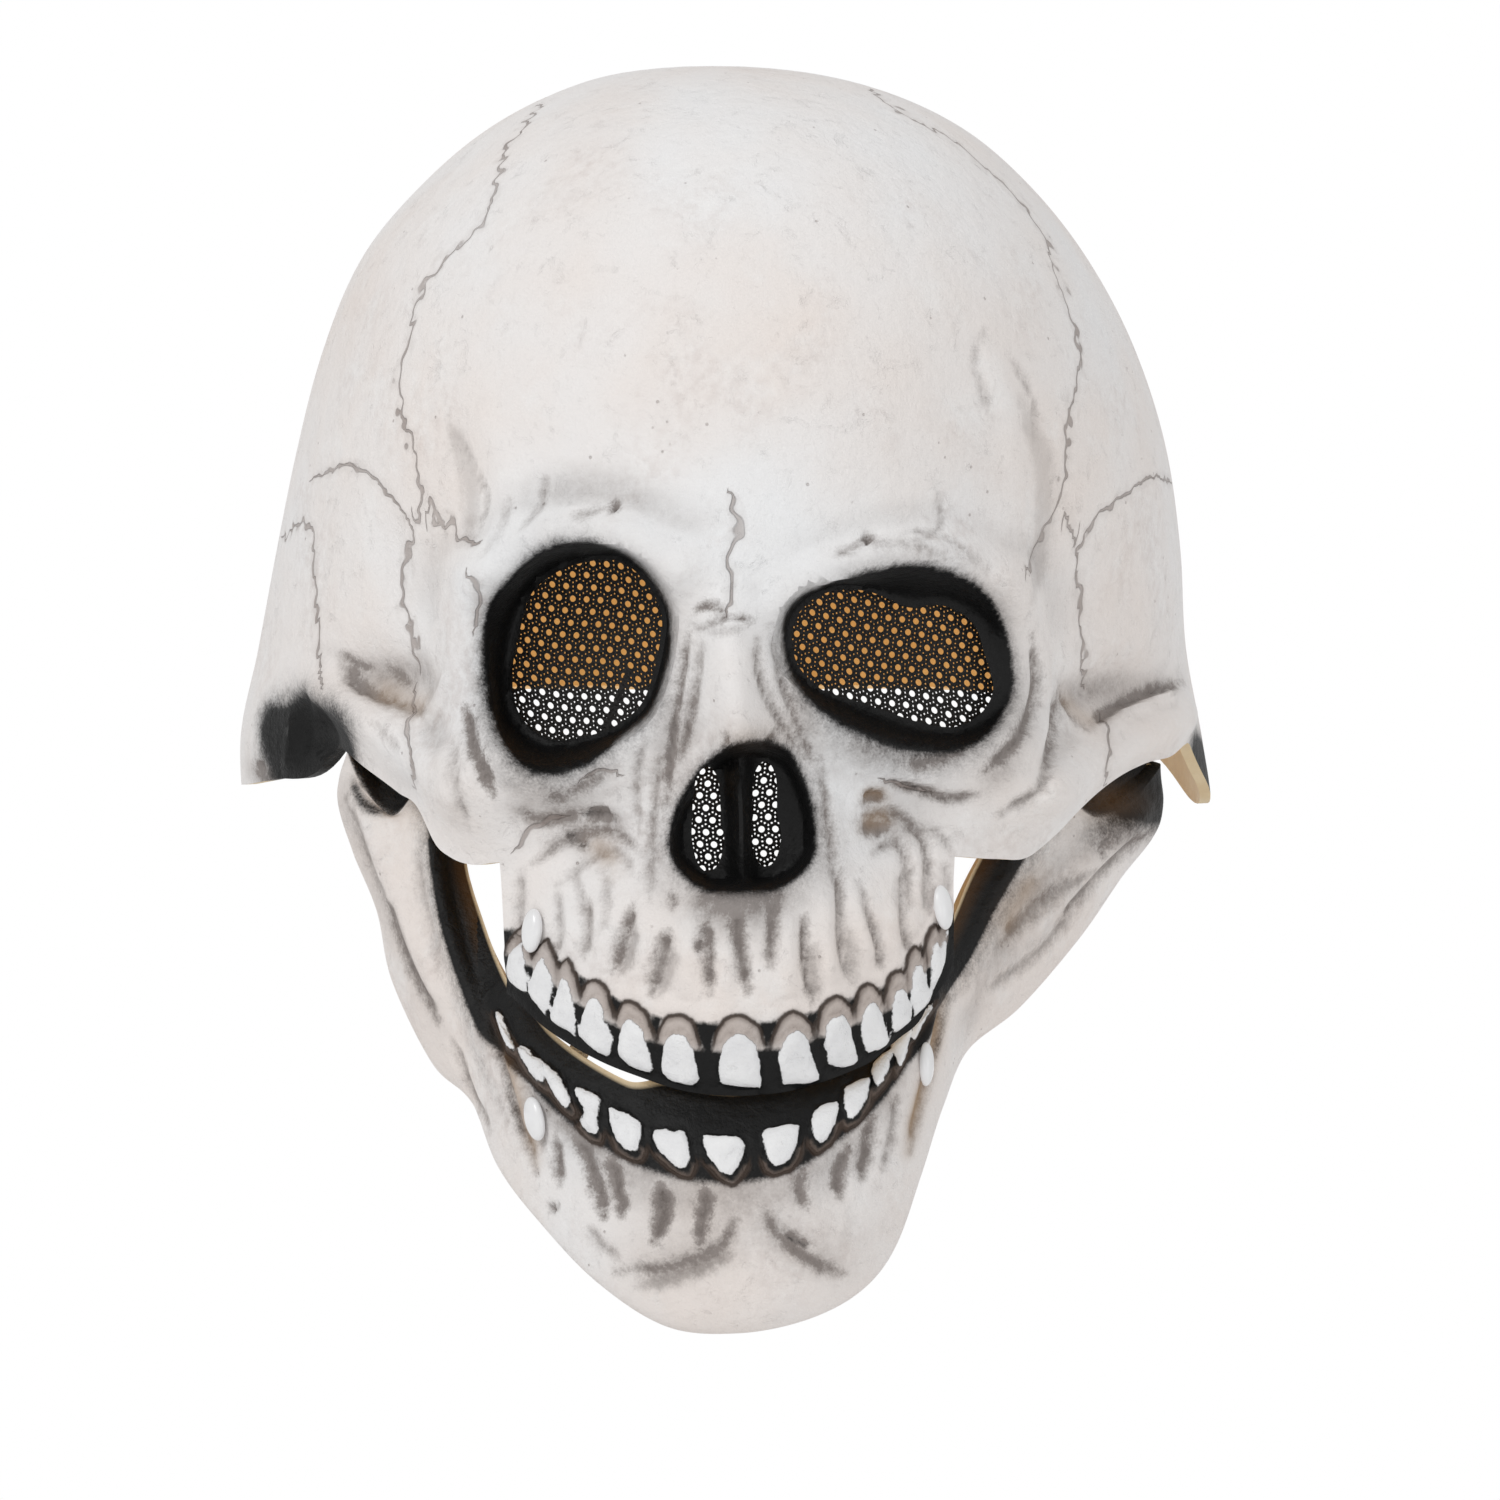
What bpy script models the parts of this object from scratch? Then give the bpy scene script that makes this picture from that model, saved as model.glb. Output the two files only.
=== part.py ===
"""Skull mask: a full-head latex skull, open underneath, with a separate hanging jaw.

Lengths in the tables are millimetres. The face looks along -Y, up is +Z, and x runs to the
right of someone facing the mask. "drop" is the distance down from the top of the crown. The
origin is the inside of the crown, where a head carries the mask.
"""
import math
from collections import namedtuple

import bmesh
import bpy
import numpy as np

MM = 0.001
SKULL_WALL = 2.2
JAW_WALL = 2.0
GAP = 0.3
CROWN = SKULL_WALL
NET_THICK = 1.0
STRAP_THICK = 1.2
STRAP_SPACE = 3.4
STRAP_BOW = 11.0
SHANK = 1.2

# Plan of the head at each drop: side limits, front, widest place, back, and how far the face tapers
Section = namedtuple("Section", "drop left right front middle back taper")
SKULL_SECTIONS = [
    Section(0.0, -4.6, -4.6, 6.0, 6.0, 6.0, 0.0),
    Section(1.6, -24.1, 16.2, -22.0, 7.0, 34.0, 0.0),
    Section(5.7, -37.1, 32.0, -42.0, 8.0, 54.0, 0.0),
    Section(12.8, -50.4, 46.6, -61.0, 10.0, 75.0, 0.0),
    Section(22.9, -62.6, 58.7, -76.0, 12.0, 91.0, 0.0),
    Section(38.1, -75.5, 71.1, -89.5, 14.0, 103.0, 0.0),
    Section(58.3, -84.2, 81.8, -98.5, 16.0, 110.0, 0.02),
    Section(78.6, -89.5, 88.1, -102.5, 18.0, 114.0, 0.06),
    Section(98.8, -93.6, 90.9, -102.5, 20.0, 113.5, 0.12),
    Section(119.1, -97.4, 92.1, -99.0, 22.0, 109.0, 0.19),
    Section(137.3, -101.0, 95.4, -97.0, 25.0, 102.0, 0.24),
    Section(150.0, -100.6, 97.2, -96.5, 25.0, 96.0, 0.25),
    Section(166.0, -99.5, 96.6, -96.5, 25.0, 90.0, 0.25),
    Section(186.0, -98.0, 96.0, -96.0, 25.0, 84.0, 0.25),
    Section(210.0, -96.0, 95.0, -95.0, 25.0, 78.0, 0.25),
]

# Lower border of the skull sheet: angle round the head from the nose, drop of the border
Border = namedtuple("Border", "angle drop")
BORDER_LEFT = [
    Border(0, 162.0), Border(36, 162.0), Border(40, 162.4), Border(43, 161.0), Border(45.5, 158.0),
    Border(47.5, 151.5), Border(51, 148.0), Border(56, 143.4), Border(61, 139.2), Border(65, 138.4),
    Border(68.5, 143.5), Border(76, 145.2), Border(92, 146.3), Border(104, 144.5), Border(116, 137.0),
    Border(130, 129.5), Border(150, 127.0), Border(180, 127.0),
]
BORDER_RIGHT = [
    Border(0, 162.0), Border(36, 160.8), Border(42, 161.3), Border(47, 160.8), Border(50, 157.5),
    Border(54, 152.0), Border(61, 145.4), Border(68, 142.0), Border(75, 140.6), Border(81, 138.0),
    Border(86, 144.0), Border(92, 149.0), Border(102, 149.0), Border(112, 141.0), Border(122, 134.0),
    Border(134, 129.0), Border(150, 127.0), Border(180, 127.0),
]
MAXILLA_ANGLE = 35.5

# Tooth edge of the upper jaw, from one side to the other
ToothEdge = namedtuple("ToothEdge", "x drop")
UPPER_EDGE = [
    ToothEdge(-45.5, 188.5), ToothEdge(-38.8, 195.0), ToothEdge(-34.2, 198.2), ToothEdge(-27.8, 201.8),
    ToothEdge(-19.8, 205.0), ToothEdge(-10.8, 207.8), ToothEdge(1.0, 208.8), ToothEdge(12.5, 207.5),
    ToothEdge(21.3, 204.7), ToothEdge(27.7, 201.8), ToothEdge(33.0, 197.4), ToothEdge(37.1, 194.0),
    ToothEdge(40.2, 189.0), ToothEdge(44.5, 183.5),
]

# Rounded forms of the face: place, half sizes, tilt, height pushed out, share pushed sideways
Bump = namedtuple("Bump", "name x drop wide tall tilt push aside")
BUMPS = [
    Bump("forehead_left", -28, 56, 24, 20, 0, 1.6, 0.3),
    Bump("forehead_right", 27, 58, 24, 20, 0, 1.6, 0.3),
    Bump("glabella", -3, 103, 13, 8, 0, 3.4, 0.0),
    Bump("nasion", -1.5, 117.5, 8, 5.5, 0, -3.6, 0.0),
    Bump("cheekbone_left", -50, 149, 11, 9.5, -25, 10.5, 0.25),
    Bump("cheekbone_right", 56, 148, 12, 9.5, 25, 11.0, 0.25),
    Bump("canine_hollow_left", -28, 156, 9, 9, 0, -4.0, 0.0),
    Bump("canine_hollow_right", 31, 155, 9, 9, 0, -4.0, 0.0),
    Bump("nasal_spine", 1, 171, 7, 5, 0, 3.0, 0.0),
    Bump("upper_jaw", 0, 181, 35, 26, 0, 10.5, 0.0),
    Bump("temple_left", -66, 106, 11, 17, 0, -3.5, 0.7),
    Bump("temple_right", 70, 107, 11, 17, 0, -3.5, 0.7),
    Bump("arch_dent_left", -71, 124, 10, 6, 12, -5.0, 0.75),
    Bump("arch_dent_right", 76, 127, 12, 5.5, -14, -5.0, 0.75),
    Bump("ear_hollow_left", -87, 136, 5.5, 9, 0, -6.0, 1.0),
    Bump("mastoid_left", -99, 138, 4.5, 9, 0, 1.2, 1.0),
]

# Raised and sunk strokes of the face: three points of a curve, half width, height, share sideways
Stroke = namedtuple("Stroke", "name x0 drop0 x1 drop1 x2 drop2 width push aside")
STROKES = [
    Stroke("brow_left", -51, 105, -33, 87, -12, 103, 6.0, 5.2, 0.1),
    Stroke("brow_right", 12, 110, 34, 92, 56, 107, 6.0, 5.2, 0.1),
    Stroke("outer_rim_left", -54, 104, -59, 122, -51, 140, 5.0, 5.0, 0.35),
    Stroke("outer_rim_right", 56, 106, 63, 122, 57, 137, 5.0, 5.0, 0.35),
    Stroke("lower_rim_left", -52, 139, -35, 149, -16, 134, 5.5, 4.2, 0.0),
    Stroke("lower_rim_right", 55, 137, 36, 146, 13, 131, 5.5, 4.2, 0.0),
    Stroke("nose_bridge", -1, 116, 0, 128, 1.5, 139, 7.0, 12.0, 0.0),
    Stroke("arch_left", -56, 147, -68, 135, -84, 128, 5.0, 6.5, 0.65),
    Stroke("arch_right", 62, 148, 78, 137, 99, 128, 5.0, 6.5, 0.65),
]

# Outline of each deep opening, read clockwise from straight up: radius of the rim and of the hole
Opening = namedtuple("Opening", "name x drop floor slope rim hole")
SOCKETS = [
    Opening("eye_left", -30.4, 118.7, -77.0, 0.5,
            (21.8, 20.6, 19.2, 18.4, 17.4, 16.9, 18.1, 18.9, 23.5, 26.7, 24.9, 21.7, 20.7, 21.0, 20.5, 21.8),
            (17.2, 18.8, 18.0, 16.9, 15.1, 14.9, 16.2, 16.9, 17.9, 19.7, 18.6, 15.7, 13.8, 13.6, 15.2, 16.1)),
    Opening("eye_right", 32.0, 120.1, -77.0, -0.5,
            (18.1, 19.5, 21.5, 22.9, 23.6, 24.8, 24.2, 20.8, 18.2, 16.9, 17.7, 19.6, 21.8, 23.2, 19.9, 18.1),
            (10.8, 10.2, 14.0, 17.2, 18.4, 21.5, 19.9, 14.8, 11.9, 11.3, 12.6, 16.7, 20.1, 20.9, 18.0, 13.8)),
]
NOSE = Opening("nose", 1.6, 153.1, -91.0, 0.0,
               (15.1, 16.4, 14.3, 14.2, 16.0, 15.7, 14.6, 16.1, 16.3, 14.0, 12.7, 13.4),
               (12.6, 13.0, 11.6, 11.8, 13.5, 13.2, 12.2, 13.6, 13.6, 11.4, 10.3, 11.0))
SLOTS = [
    Opening("slot_left", -5.5, 153.5, 0.0, 0.0,
            (10.9, 4.9, 3.1, 2.8, 3.5, 6.3, 10.3, 5.8, 3.7, 3.1, 3.5, 5.6), ()),
    Opening("slot_right", 6.1, 152.2, 0.0, 0.0,
            (10.6, 4.6, 2.7, 2.4, 3.1, 6.2, 10.6, 5.4, 3.0, 2.4, 2.8, 5.0), ()),
]
SEPTUM = Stroke("septum", 1.0, 138, 1.0, 153, 1.8, 168, 1.9, 5.0, 0.0)

# The jaw as sections from the left knob round the chin to the right knob. "out" is the lower
# and rear outline, "ridge" the gum line or front edge, "edge" the cut inner edge, "look" the
# angle that the face looks to, "belly" its swell, "tuck" the rolled lip, "notch" the saddle
Jaw = namedtuple("Jaw", "out_x out_y out_drop ridge_x ridge_y ridge_drop edge_x edge_y edge_drop "
                        "look belly tuck notch")
JAW_SECTIONS = [
    Jaw(-78.5, -28.0, 139.6, -64.0, -43.5, 147.0, -56.0, -43.0, 150.0, -48, 0.8, 3.0, 8.0),
    Jaw(-80.6, -26.0, 149.0, -62.2, -48.0, 153.5, -55.0, -46.5, 156.0, -56, 1.8, 4.0, 2.0),
    Jaw(-77.5, -24.5, 160.0, -61.0, -51.0, 163.0, -53.8, -50.0, 164.5, -60, 2.4, 5.0, 0.0),
    Jaw(-72.5, -25.0, 172.0, -59.0, -54.0, 174.0, -50.8, -54.5, 174.0, -63, 2.6, 6.0, 0.0),
    Jaw(-69.4, -28.0, 186.0, -55.0, -59.0, 186.5, -47.8, -60.0, 182.0, -66, 2.6, 7.0, 0.0),
    Jaw(-61.0, -35.0, 203.0, -50.5, -66.0, 197.0, -44.8, -67.0, 187.6, -68, 2.4, 7.0, 0.0),
    Jaw(-53.2, -50.0, 210.5, -45.5, -75.5, 202.3, -41.0, -70.5, 190.2, -62, 2.0, 7.0, 0.0),
    Jaw(-47.6, -65.0, 223.8, -38.5, -85.0, 209.6, -36.5, -78.5, 195.0, -54, 1.6, 7.0, 0.0),
    Jaw(-38.7, -80.5, 235.2, -30.5, -93.0, 216.4, -30.0, -86.0, 199.8, -45, 1.6, 8.0, 0.0),
    Jaw(-27.7, -91.5, 246.4, -20.5, -99.0, 222.2, -21.5, -93.0, 204.4, -33, 2.2, 9.0, 0.0),
    Jaw(-14.0, -98.0, 254.9, -10.0, -102.8, 225.2, -10.0, -99.2, 208.6, -17, 3.2, 10.0, 0.0),
    Jaw(0.5, -100.0, 256.2, 1.0, -103.6, 225.8, 0.0, -100.0, 210.0, 0, 3.6, 10.0, 0.0),
    Jaw(14.5, -98.5, 253.6, 11.5, -102.4, 223.6, 10.0, -98.4, 209.0, 17, 3.2, 10.0, 0.0),
    Jaw(25.2, -93.5, 248.2, 20.5, -98.4, 217.8, 19.5, -92.6, 205.4, 34, 2.2, 9.0, 0.0),
    Jaw(32.0, -86.0, 240.0, 28.0, -92.5, 211.4, 27.0, -84.5, 200.6, 48, 1.6, 8.0, 0.0),
    Jaw(37.2, -76.0, 225.6, 34.0, -85.0, 203.8, 33.5, -80.5, 194.4, 58, 1.6, 7.0, 0.0),
    Jaw(41.4, -62.0, 212.0, 38.6, -76.5, 197.0, 37.4, -74.6, 187.4, 66, 2.0, 7.0, 0.0),
    Jaw(46.5, -46.0, 200.5, 43.0, -67.0, 188.4, 41.6, -66.0, 179.4, 70, 2.4, 7.0, 0.0),
    Jaw(57.5, -33.0, 191.6, 47.6, -60.0, 181.0, 44.4, -60.5, 172.4, 70, 2.6, 7.0, 0.0),
    Jaw(69.7, -20.0, 177.8, 52.0, -54.5, 172.4, 47.2, -56.0, 165.6, 64, 2.6, 6.0, 0.0),
    Jaw(78.4, -14.0, 165.4, 57.0, -50.0, 164.0, 50.6, -52.0, 159.0, 59, 2.4, 5.0, 0.0),
    Jaw(86.2, -12.0, 154.6, 62.0, -46.0, 155.6, 54.4, -48.5, 152.8, 55, 1.8, 4.0, 2.0),
    Jaw(86.4, -13.5, 142.6, 66.0, -42.0, 147.4, 58.4, -44.5, 148.0, 54, 0.8, 3.0, 7.0),
]

# Oval snap studs: place on the face, the shell that carries it, half sizes of the head, tilt
Stud = namedtuple("Stud", "name x drop wide tall tilt")
STUDS = [
    Stud("stud_upper_left", -40.0, 175.8, 2.5, 4.5, 0),
    Stud("stud_upper_right", 41.2, 171.2, 2.3, 4.6, 0),
    Stud("stud_lower_left", -39.2, 213.6, 2.8, 4.6, -18),
    Stud("stud_lower_right", 37.4, 202.8, 2.0, 4.5, 8),
]


def hermite(knots, values, where):
    """Read a smooth curve through a table's rows at any place between them."""
    knots = np.asarray(knots, float)
    values = np.asarray(values, float)
    where = np.asarray(where, float)
    slopes = np.gradient(values, knots)
    k = np.clip(np.searchsorted(knots, where, side="right") - 1, 0, len(knots) - 2)
    span = knots[k + 1] - knots[k]
    t = np.clip((where - knots[k]) / span, 0.0, 1.0)
    a = (1 + 2 * t) * (1 - t) ** 2 * values[k] + t * (1 - t) ** 2 * span * slopes[k]
    return a + t * t * (3 - 2 * t) * values[k + 1] + t * t * (t - 1) * span * slopes[k + 1]


def ring(radii, angle):
    """Read a closed outline, given as equally spaced radii, at any angle."""
    radii = np.asarray(radii, float)
    n = len(radii)
    t = np.mod(angle, 2 * math.pi) * n / (2 * math.pi)
    k = np.floor(t).astype(int) % n
    t = t - np.floor(t)
    p0, p1, p2, p3 = radii[k - 1], radii[k], radii[(k + 1) % n], radii[(k + 2) % n]
    return p1 + 0.5 * t * (p2 - p0 + t * (2 * p0 - 5 * p1 + 4 * p2 - p3 + t * (3 * (p1 - p2) + p3 - p0)))


def step(low, high, value):
    """Rise smoothly from 0 at low to 1 at high."""
    t = np.clip((value - low) / (high - low), 0.0, 1.0)
    return t * t * (3 - 2 * t)


def stroke_distance(stroke, x, drop):
    """Distance from points of the front view to a stroke's curve."""
    t = np.linspace(0, 1, 25)
    cx = (1 - t) ** 2 * stroke.x0 + 2 * t * (1 - t) * stroke.x1 + t * t * stroke.x2
    cd = (1 - t) ** 2 * stroke.drop0 + 2 * t * (1 - t) * stroke.drop1 + t * t * stroke.drop2
    best = np.full(np.shape(x), 1e9)
    for i in range(len(t) - 1):
        ex, ed = cx[i + 1] - cx[i], cd[i + 1] - cd[i]
        u = np.clip(((x - cx[i]) * ex + (drop - cd[i]) * ed) / (ex * ex + ed * ed), 0, 1)
        best = np.minimum(best, np.hypot(x - cx[i] - u * ex, drop - cd[i] - u * ed))
    return best


def opening_place(opening, x, drop):
    """Distance from an opening's centre and angle clockwise from straight up."""
    return np.hypot(x - opening.x, drop - opening.drop), np.arctan2(x - opening.x, opening.drop - drop)


def opening_floor(opening, x):
    """Depth of the level floor behind a socket or the nose."""
    return opening.floor - opening.slope * (x - opening.x)


def skull_plan(angle, drop):
    """Plain plan of the head at an angle and a drop: x, y and how far the place faces forward."""
    key = np.sqrt([s.drop for s in SKULL_SECTIONS])
    root = np.sqrt(drop)
    left, right, front, middle, back, taper = (
        hermite(key, [getattr(s, name) for s in SKULL_SECTIONS], root)
        for name in ("left", "right", "front", "middle", "back", "taper"))
    cosine = np.cos(angle)
    forward = np.clip(cosine, 0, 1)
    x = 0.5 * (left + right) + 0.5 * (right - left) * np.sin(angle) * (1 - taper * forward ** 1.2)
    y = middle + np.where(cosine > 0, (front - middle) * cosine, (middle - back) * cosine)
    return x, y, forward


def settle_on_rims(angle, drop, reach):
    """Move places that lie near the rim of a socket or the nose onto that rim."""
    for o in SOCKETS + [NOSE]:
        x, _, forward = skull_plan(angle, drop)
        ahead, _, _ = skull_plan(angle + 0.01, drop)
        away, turn = opening_place(o, x, drop)
        hole = ring(o.hole, turn) + (1.0 if o is not NOSE else 0.0)
        rim = np.maximum(ring(o.rim, turn), hole + 2.6)
        target = rim if o is NOSE else np.where(np.abs(away - rim) < np.abs(away - hole), rim, hole)
        near = (np.abs(away - target) < reach) & (forward > 0.2)
        scale = np.where(near, target / np.maximum(away, 0.1), 1.0)
        pace = np.where(near, (ahead - x) / 0.01, 1.0)
        angle = angle + (x - o.x) * (scale - 1) / pace
        drop = drop + (drop - o.drop) * (scale - 1)
    return angle, drop


def skull_surface(angle, drop):
    """Outer face of the skull sheet at an angle round the head and a drop below the crown."""
    x, y, forward = skull_plan(angle, drop)
    facing = step(0.0, 0.22, forward)
    push_front = np.zeros_like(x)
    push_side = np.zeros_like(x)
    for b in BUMPS:
        tilt = math.radians(b.tilt)
        u = ((x - b.x) * math.cos(tilt) + (drop - b.drop) * math.sin(tilt)) / b.wide
        v = ((drop - b.drop) * math.cos(tilt) - (x - b.x) * math.sin(tilt)) / b.tall
        weight = np.exp(-(u * u + v * v)) * facing * b.push
        push_front += weight * (1 - b.aside)
        push_side += weight * b.aside
    for s in STROKES:
        weight = np.exp(-(stroke_distance(s, x, drop) / s.width) ** 2) * facing * s.push
        push_front += weight * (1 - s.aside)
        push_side += weight * s.aside
    edge = hermite([e.x for e in UPPER_EDGE], [e.drop for e in UPPER_EDGE], x)
    push_front += 1.1 * step(19.0, 15.0, edge - drop) * step(-46.5, -43.5, x) * step(46.5, 43.5, x) * facing
    y = y - push_front - push_side * forward
    x_out = x + push_side * np.sin(angle)
    for o in SOCKETS + [NOSE]:
        reach, turn = opening_place(o, x, drop)
        hole = ring(o.hole, turn) + (1.0 if o is not NOSE else 0.0)
        rim = np.maximum(ring(o.rim, turn), hole + 2.6)
        inside = step(1.0, 0.0, (reach - hole) / (rim - hole)) * (forward > 0.2)
        floor = opening_floor(o, x)
        if o is NOSE:
            floor = floor - SEPTUM.push * np.exp(-(stroke_distance(SEPTUM, x, drop) / SEPTUM.width) ** 2)
        y = y + inside * (np.maximum(floor, y) - y)
    return np.stack([x_out, y, CROWN - drop], axis=-1)


def border_drop(angle):
    """Drop of the sheet's lower border at an angle round the head."""
    degrees = np.degrees(np.abs(angle))
    left = hermite([b.angle for b in BORDER_LEFT], [b.drop for b in BORDER_LEFT], degrees)
    right = hermite([b.angle for b in BORDER_RIGHT], [b.drop for b in BORDER_RIGHT], degrees)
    return np.where(angle < 0, left, right)


def skull_grid(columns, fractions, lower, reach):
    """Rows of points from the crown to the border, and the extra rows of the upper jaw."""
    angle = np.asarray(columns)
    drop = np.outer(fractions, np.ones(len(angle))) * border_drop(angle)[None, :]
    turn = np.broadcast_to(angle, drop.shape).copy()
    turn[:-1], drop[:-1] = settle_on_rims(turn[:-1], drop[:-1], reach)
    main = skull_surface(turn, drop)
    jaw_columns = np.nonzero(np.abs(angle) <= math.radians(MAXILLA_ANGLE) + 1e-6)[0]
    top = border_drop(angle[jaw_columns])
    x = skull_surface(angle[jaw_columns], np.full(len(jaw_columns), 190.0))[:, 0]
    bottom = hermite([e.x for e in UPPER_EDGE], [e.drop for e in UPPER_EDGE], x)
    share = np.arange(1, lower + 1)[:, None] / lower
    drop2 = top[None, :] * (1 - share) + bottom[None, :] * share
    turn2 = np.broadcast_to(angle[jaw_columns], drop2.shape)
    return main, jaw_columns, skull_surface(turn2, drop2)


def grid_mesh(skull, coarse_rows):
    """Points and faces of the outer sheet: one point at the crown, half the columns on the cap."""
    main, jaw_columns, extra = skull
    rows, count = main.shape[:2]
    points = [main[0, 0]]
    number = np.zeros((rows, count), int)
    for i in range(1, rows):
        for j in range(0, count, 2 if i < coarse_rows else 1):
            number[i, j] = len(points)
            points.append(main[i, j])
    pace = 2 if coarse_rows > 1 else 1
    faces = [(0, number[1, (j + pace) % count], number[1, j]) for j in range(0, count, pace)]
    for i in range(1, rows - 1):
        pace = 2 if i < coarse_rows else 1
        for j in range(0, count, pace):
            k = (j + pace) % count
            if i == coarse_rows - 1:
                faces.append((number[i, j], number[i, k], number[i + 1, k], number[i + 1, j + 1],
                              number[i + 1, j]))
            else:
                faces.append((number[i, j], number[i, k], number[i + 1, k], number[i + 1, j]))
    above = number[rows - 1, jaw_columns]
    for i in range(extra.shape[0]):
        below = np.arange(len(points), len(points) + len(jaw_columns))
        points.extend(extra[i])
        for j in range(len(jaw_columns) - 1):
            faces.append((above[j], above[j + 1], below[j + 1], below[j]))
        above = below
    return np.array(points), [tuple(reversed(f)) for f in faces]


def point_normals(points, faces):
    """Area-weighted normals at the points of a sheet."""
    normals = np.zeros_like(points)
    for face in faces:
        p = points[list(face)]
        n = sum(np.cross(p[k] - p[0], p[k + 1] - p[0]) for k in range(1, len(face) - 1))
        normals[list(face)] += n
    return normals / np.linalg.norm(normals, axis=1)[:, None]


def smooth_field(field, faces, rounds):
    """Average a value over the neighbours of each point."""
    edges = {(min(a, b), max(a, b)) for f in faces for a, b in zip(f, f[1:] + f[:1])}
    pairs = np.array(sorted(edges))
    for _ in range(rounds):
        total = field.copy()
        weight = np.ones(len(field))
        np.add.at(total, pairs[:, 0], field[pairs[:, 1]])
        np.add.at(total, pairs[:, 1], field[pairs[:, 0]])
        np.add.at(weight, pairs[:, 0], 1)
        np.add.at(weight, pairs[:, 1], 1)
        field = total / weight[:, None]
    return field


def thicken(points, faces, wall, rounds):
    """Turn an outer sheet into a closed wall by adding its inner face and its rim.

    The inner face lies along a calm direction field, deeper where the outer face is steep to it.
    """
    faces = [tuple(int(v) for v in f) for f in faces]
    normals = point_normals(points, faces)
    field = smooth_field(normals, faces, rounds)
    field /= np.linalg.norm(field, axis=1)[:, None]
    lean = np.clip((field * smooth_field(normals, faces, 1)).sum(axis=1), 0.55, 1.0)[:, None]
    inner = points - field * wall * smooth_field(1.0 / lean, faces, 1)
    n = len(points)
    solid = list(faces) + [tuple(v + n for v in reversed(f)) for f in faces]
    directed = {(a, b) for f in faces for a, b in zip(f, f[1:] + f[:1])}
    for a, b in directed:
        if (b, a) not in directed:
            solid.append((b, a, a + n, b + n))
    return np.vstack([points, inner]), sorted(solid)


def make_object(name, points, faces, colour, collection):
    """Mesh object from points in millimetres, with its own plain material."""
    mesh = bpy.data.meshes.new(name)
    mesh.from_pydata([tuple(float(c) * MM for c in p) for p in points], [], [list(map(int, f)) for f in faces])
    mesh.validate()
    work = bmesh.new()
    work.from_mesh(mesh)
    bmesh.ops.recalc_face_normals(work, faces=work.faces)
    bmesh.ops.triangulate(work, faces=work.faces, quad_method="SHORT_EDGE")
    work.to_mesh(mesh)
    work.free()
    material = bpy.data.materials.new(name)
    material.use_nodes = True
    shader = material.node_tree.nodes["Principled BSDF"]
    shader.inputs["Base Color"].default_value = (*colour, 1)
    shader.inputs["Roughness"].default_value = 0.6
    mesh.materials.append(material)
    obj = bpy.data.objects.new(name, mesh)
    collection.objects.link(obj)
    return obj


def prism(name, outline, direction, start, end, collection):
    """Cutter with a closed outline of points, swept from start to end along a direction."""
    n = len(outline)
    points = [p + direction * start for p in outline] + [p + direction * end for p in outline]
    faces = [tuple(range(n)), tuple(range(2 * n - 1, n - 1, -1))]
    faces += [(i, i + n, (i + 1) % n + n, (i + 1) % n) for i in range(n)]
    obj = make_object(name, points, faces, (0.5, 0.5, 0.5), collection)
    obj.hide_render = True
    obj.display_type = "WIRE"
    return obj


def outline_points(opening, radii, count, grow=0.0):
    """Points of an opening's outline in the front view."""
    turn = np.arange(count) * 2 * math.pi / count
    reach = ring(radii, turn) + grow
    x = opening.x + reach * np.sin(turn)
    drop = opening.drop - reach * np.cos(turn)
    return np.stack([x, np.zeros(count), CROWN - drop], axis=-1)


def cut(obj, cutter):
    """Take a cutter out of an object."""
    boolean = obj.modifiers.new(cutter.name, "BOOLEAN")
    boolean.operation = "DIFFERENCE"
    boolean.solver = "EXACT"
    boolean.object = cutter


def jaw_lines(u):
    """The seven lines of the jaw sheet, from the rolled lip to the cut edge, at section place u."""
    names = Jaw._fields
    keys = np.arange(len(JAW_SECTIONS), dtype=float)
    value = {n: hermite(keys, [getattr(s, n) for s in JAW_SECTIONS], u) for n in names}
    look = np.radians(value["look"])
    out = np.stack([value["out_x"], value["out_y"], CROWN - value["out_drop"]], axis=-1)
    ridge = np.stack([value["ridge_x"], value["ridge_y"], CROWN - value["ridge_drop"]], axis=-1)
    edge = np.stack([value["edge_x"], value["edge_y"], CROWN - value["edge_drop"]], axis=-1)
    face = np.stack([np.sin(look), -np.cos(look), np.zeros_like(look)], axis=-1)
    belly, tuck, notch = (value[n][:, None] for n in ("belly", "tuck", "notch"))
    down = np.array([0.0, 0.0, -1.0])
    lip = out - face * tuck - down * 0.18 * tuck
    low = out * 0.68 + ridge * 0.32 + face * belly + down * notch * 0.75
    high = out * 0.33 + ridge * 0.67 + face * belly * 0.75 + down * notch
    band = ridge * 0.5 + edge * 0.5 + face * 0.4
    return np.stack([lip, out, low, high, ridge, band, edge])


def jaw_grid(along, across):
    """Points of the jaw's outer sheet, along the sections and across the lines."""
    lines = jaw_lines(np.asarray(along, float))
    keys = np.arange(lines.shape[0], dtype=float)
    grid = np.zeros((len(along), len(across), 3))
    for i in range(len(along)):
        for c in range(3):
            grid[i, :, c] = hermite(keys, lines[:, i, c], across)
    return grid


def sheet_mesh(grid):
    """Points and faces of a rectangular sheet."""
    rows, count = grid.shape[:2]
    index = np.arange(rows * count).reshape(rows, count)
    faces = []
    for i in range(rows - 1):
        for j in range(count - 1):
            faces.append((index[i, j], index[i, j + 1], index[i + 1, j + 1], index[i + 1, j]))
    return grid.reshape(-1, 3), faces


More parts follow.
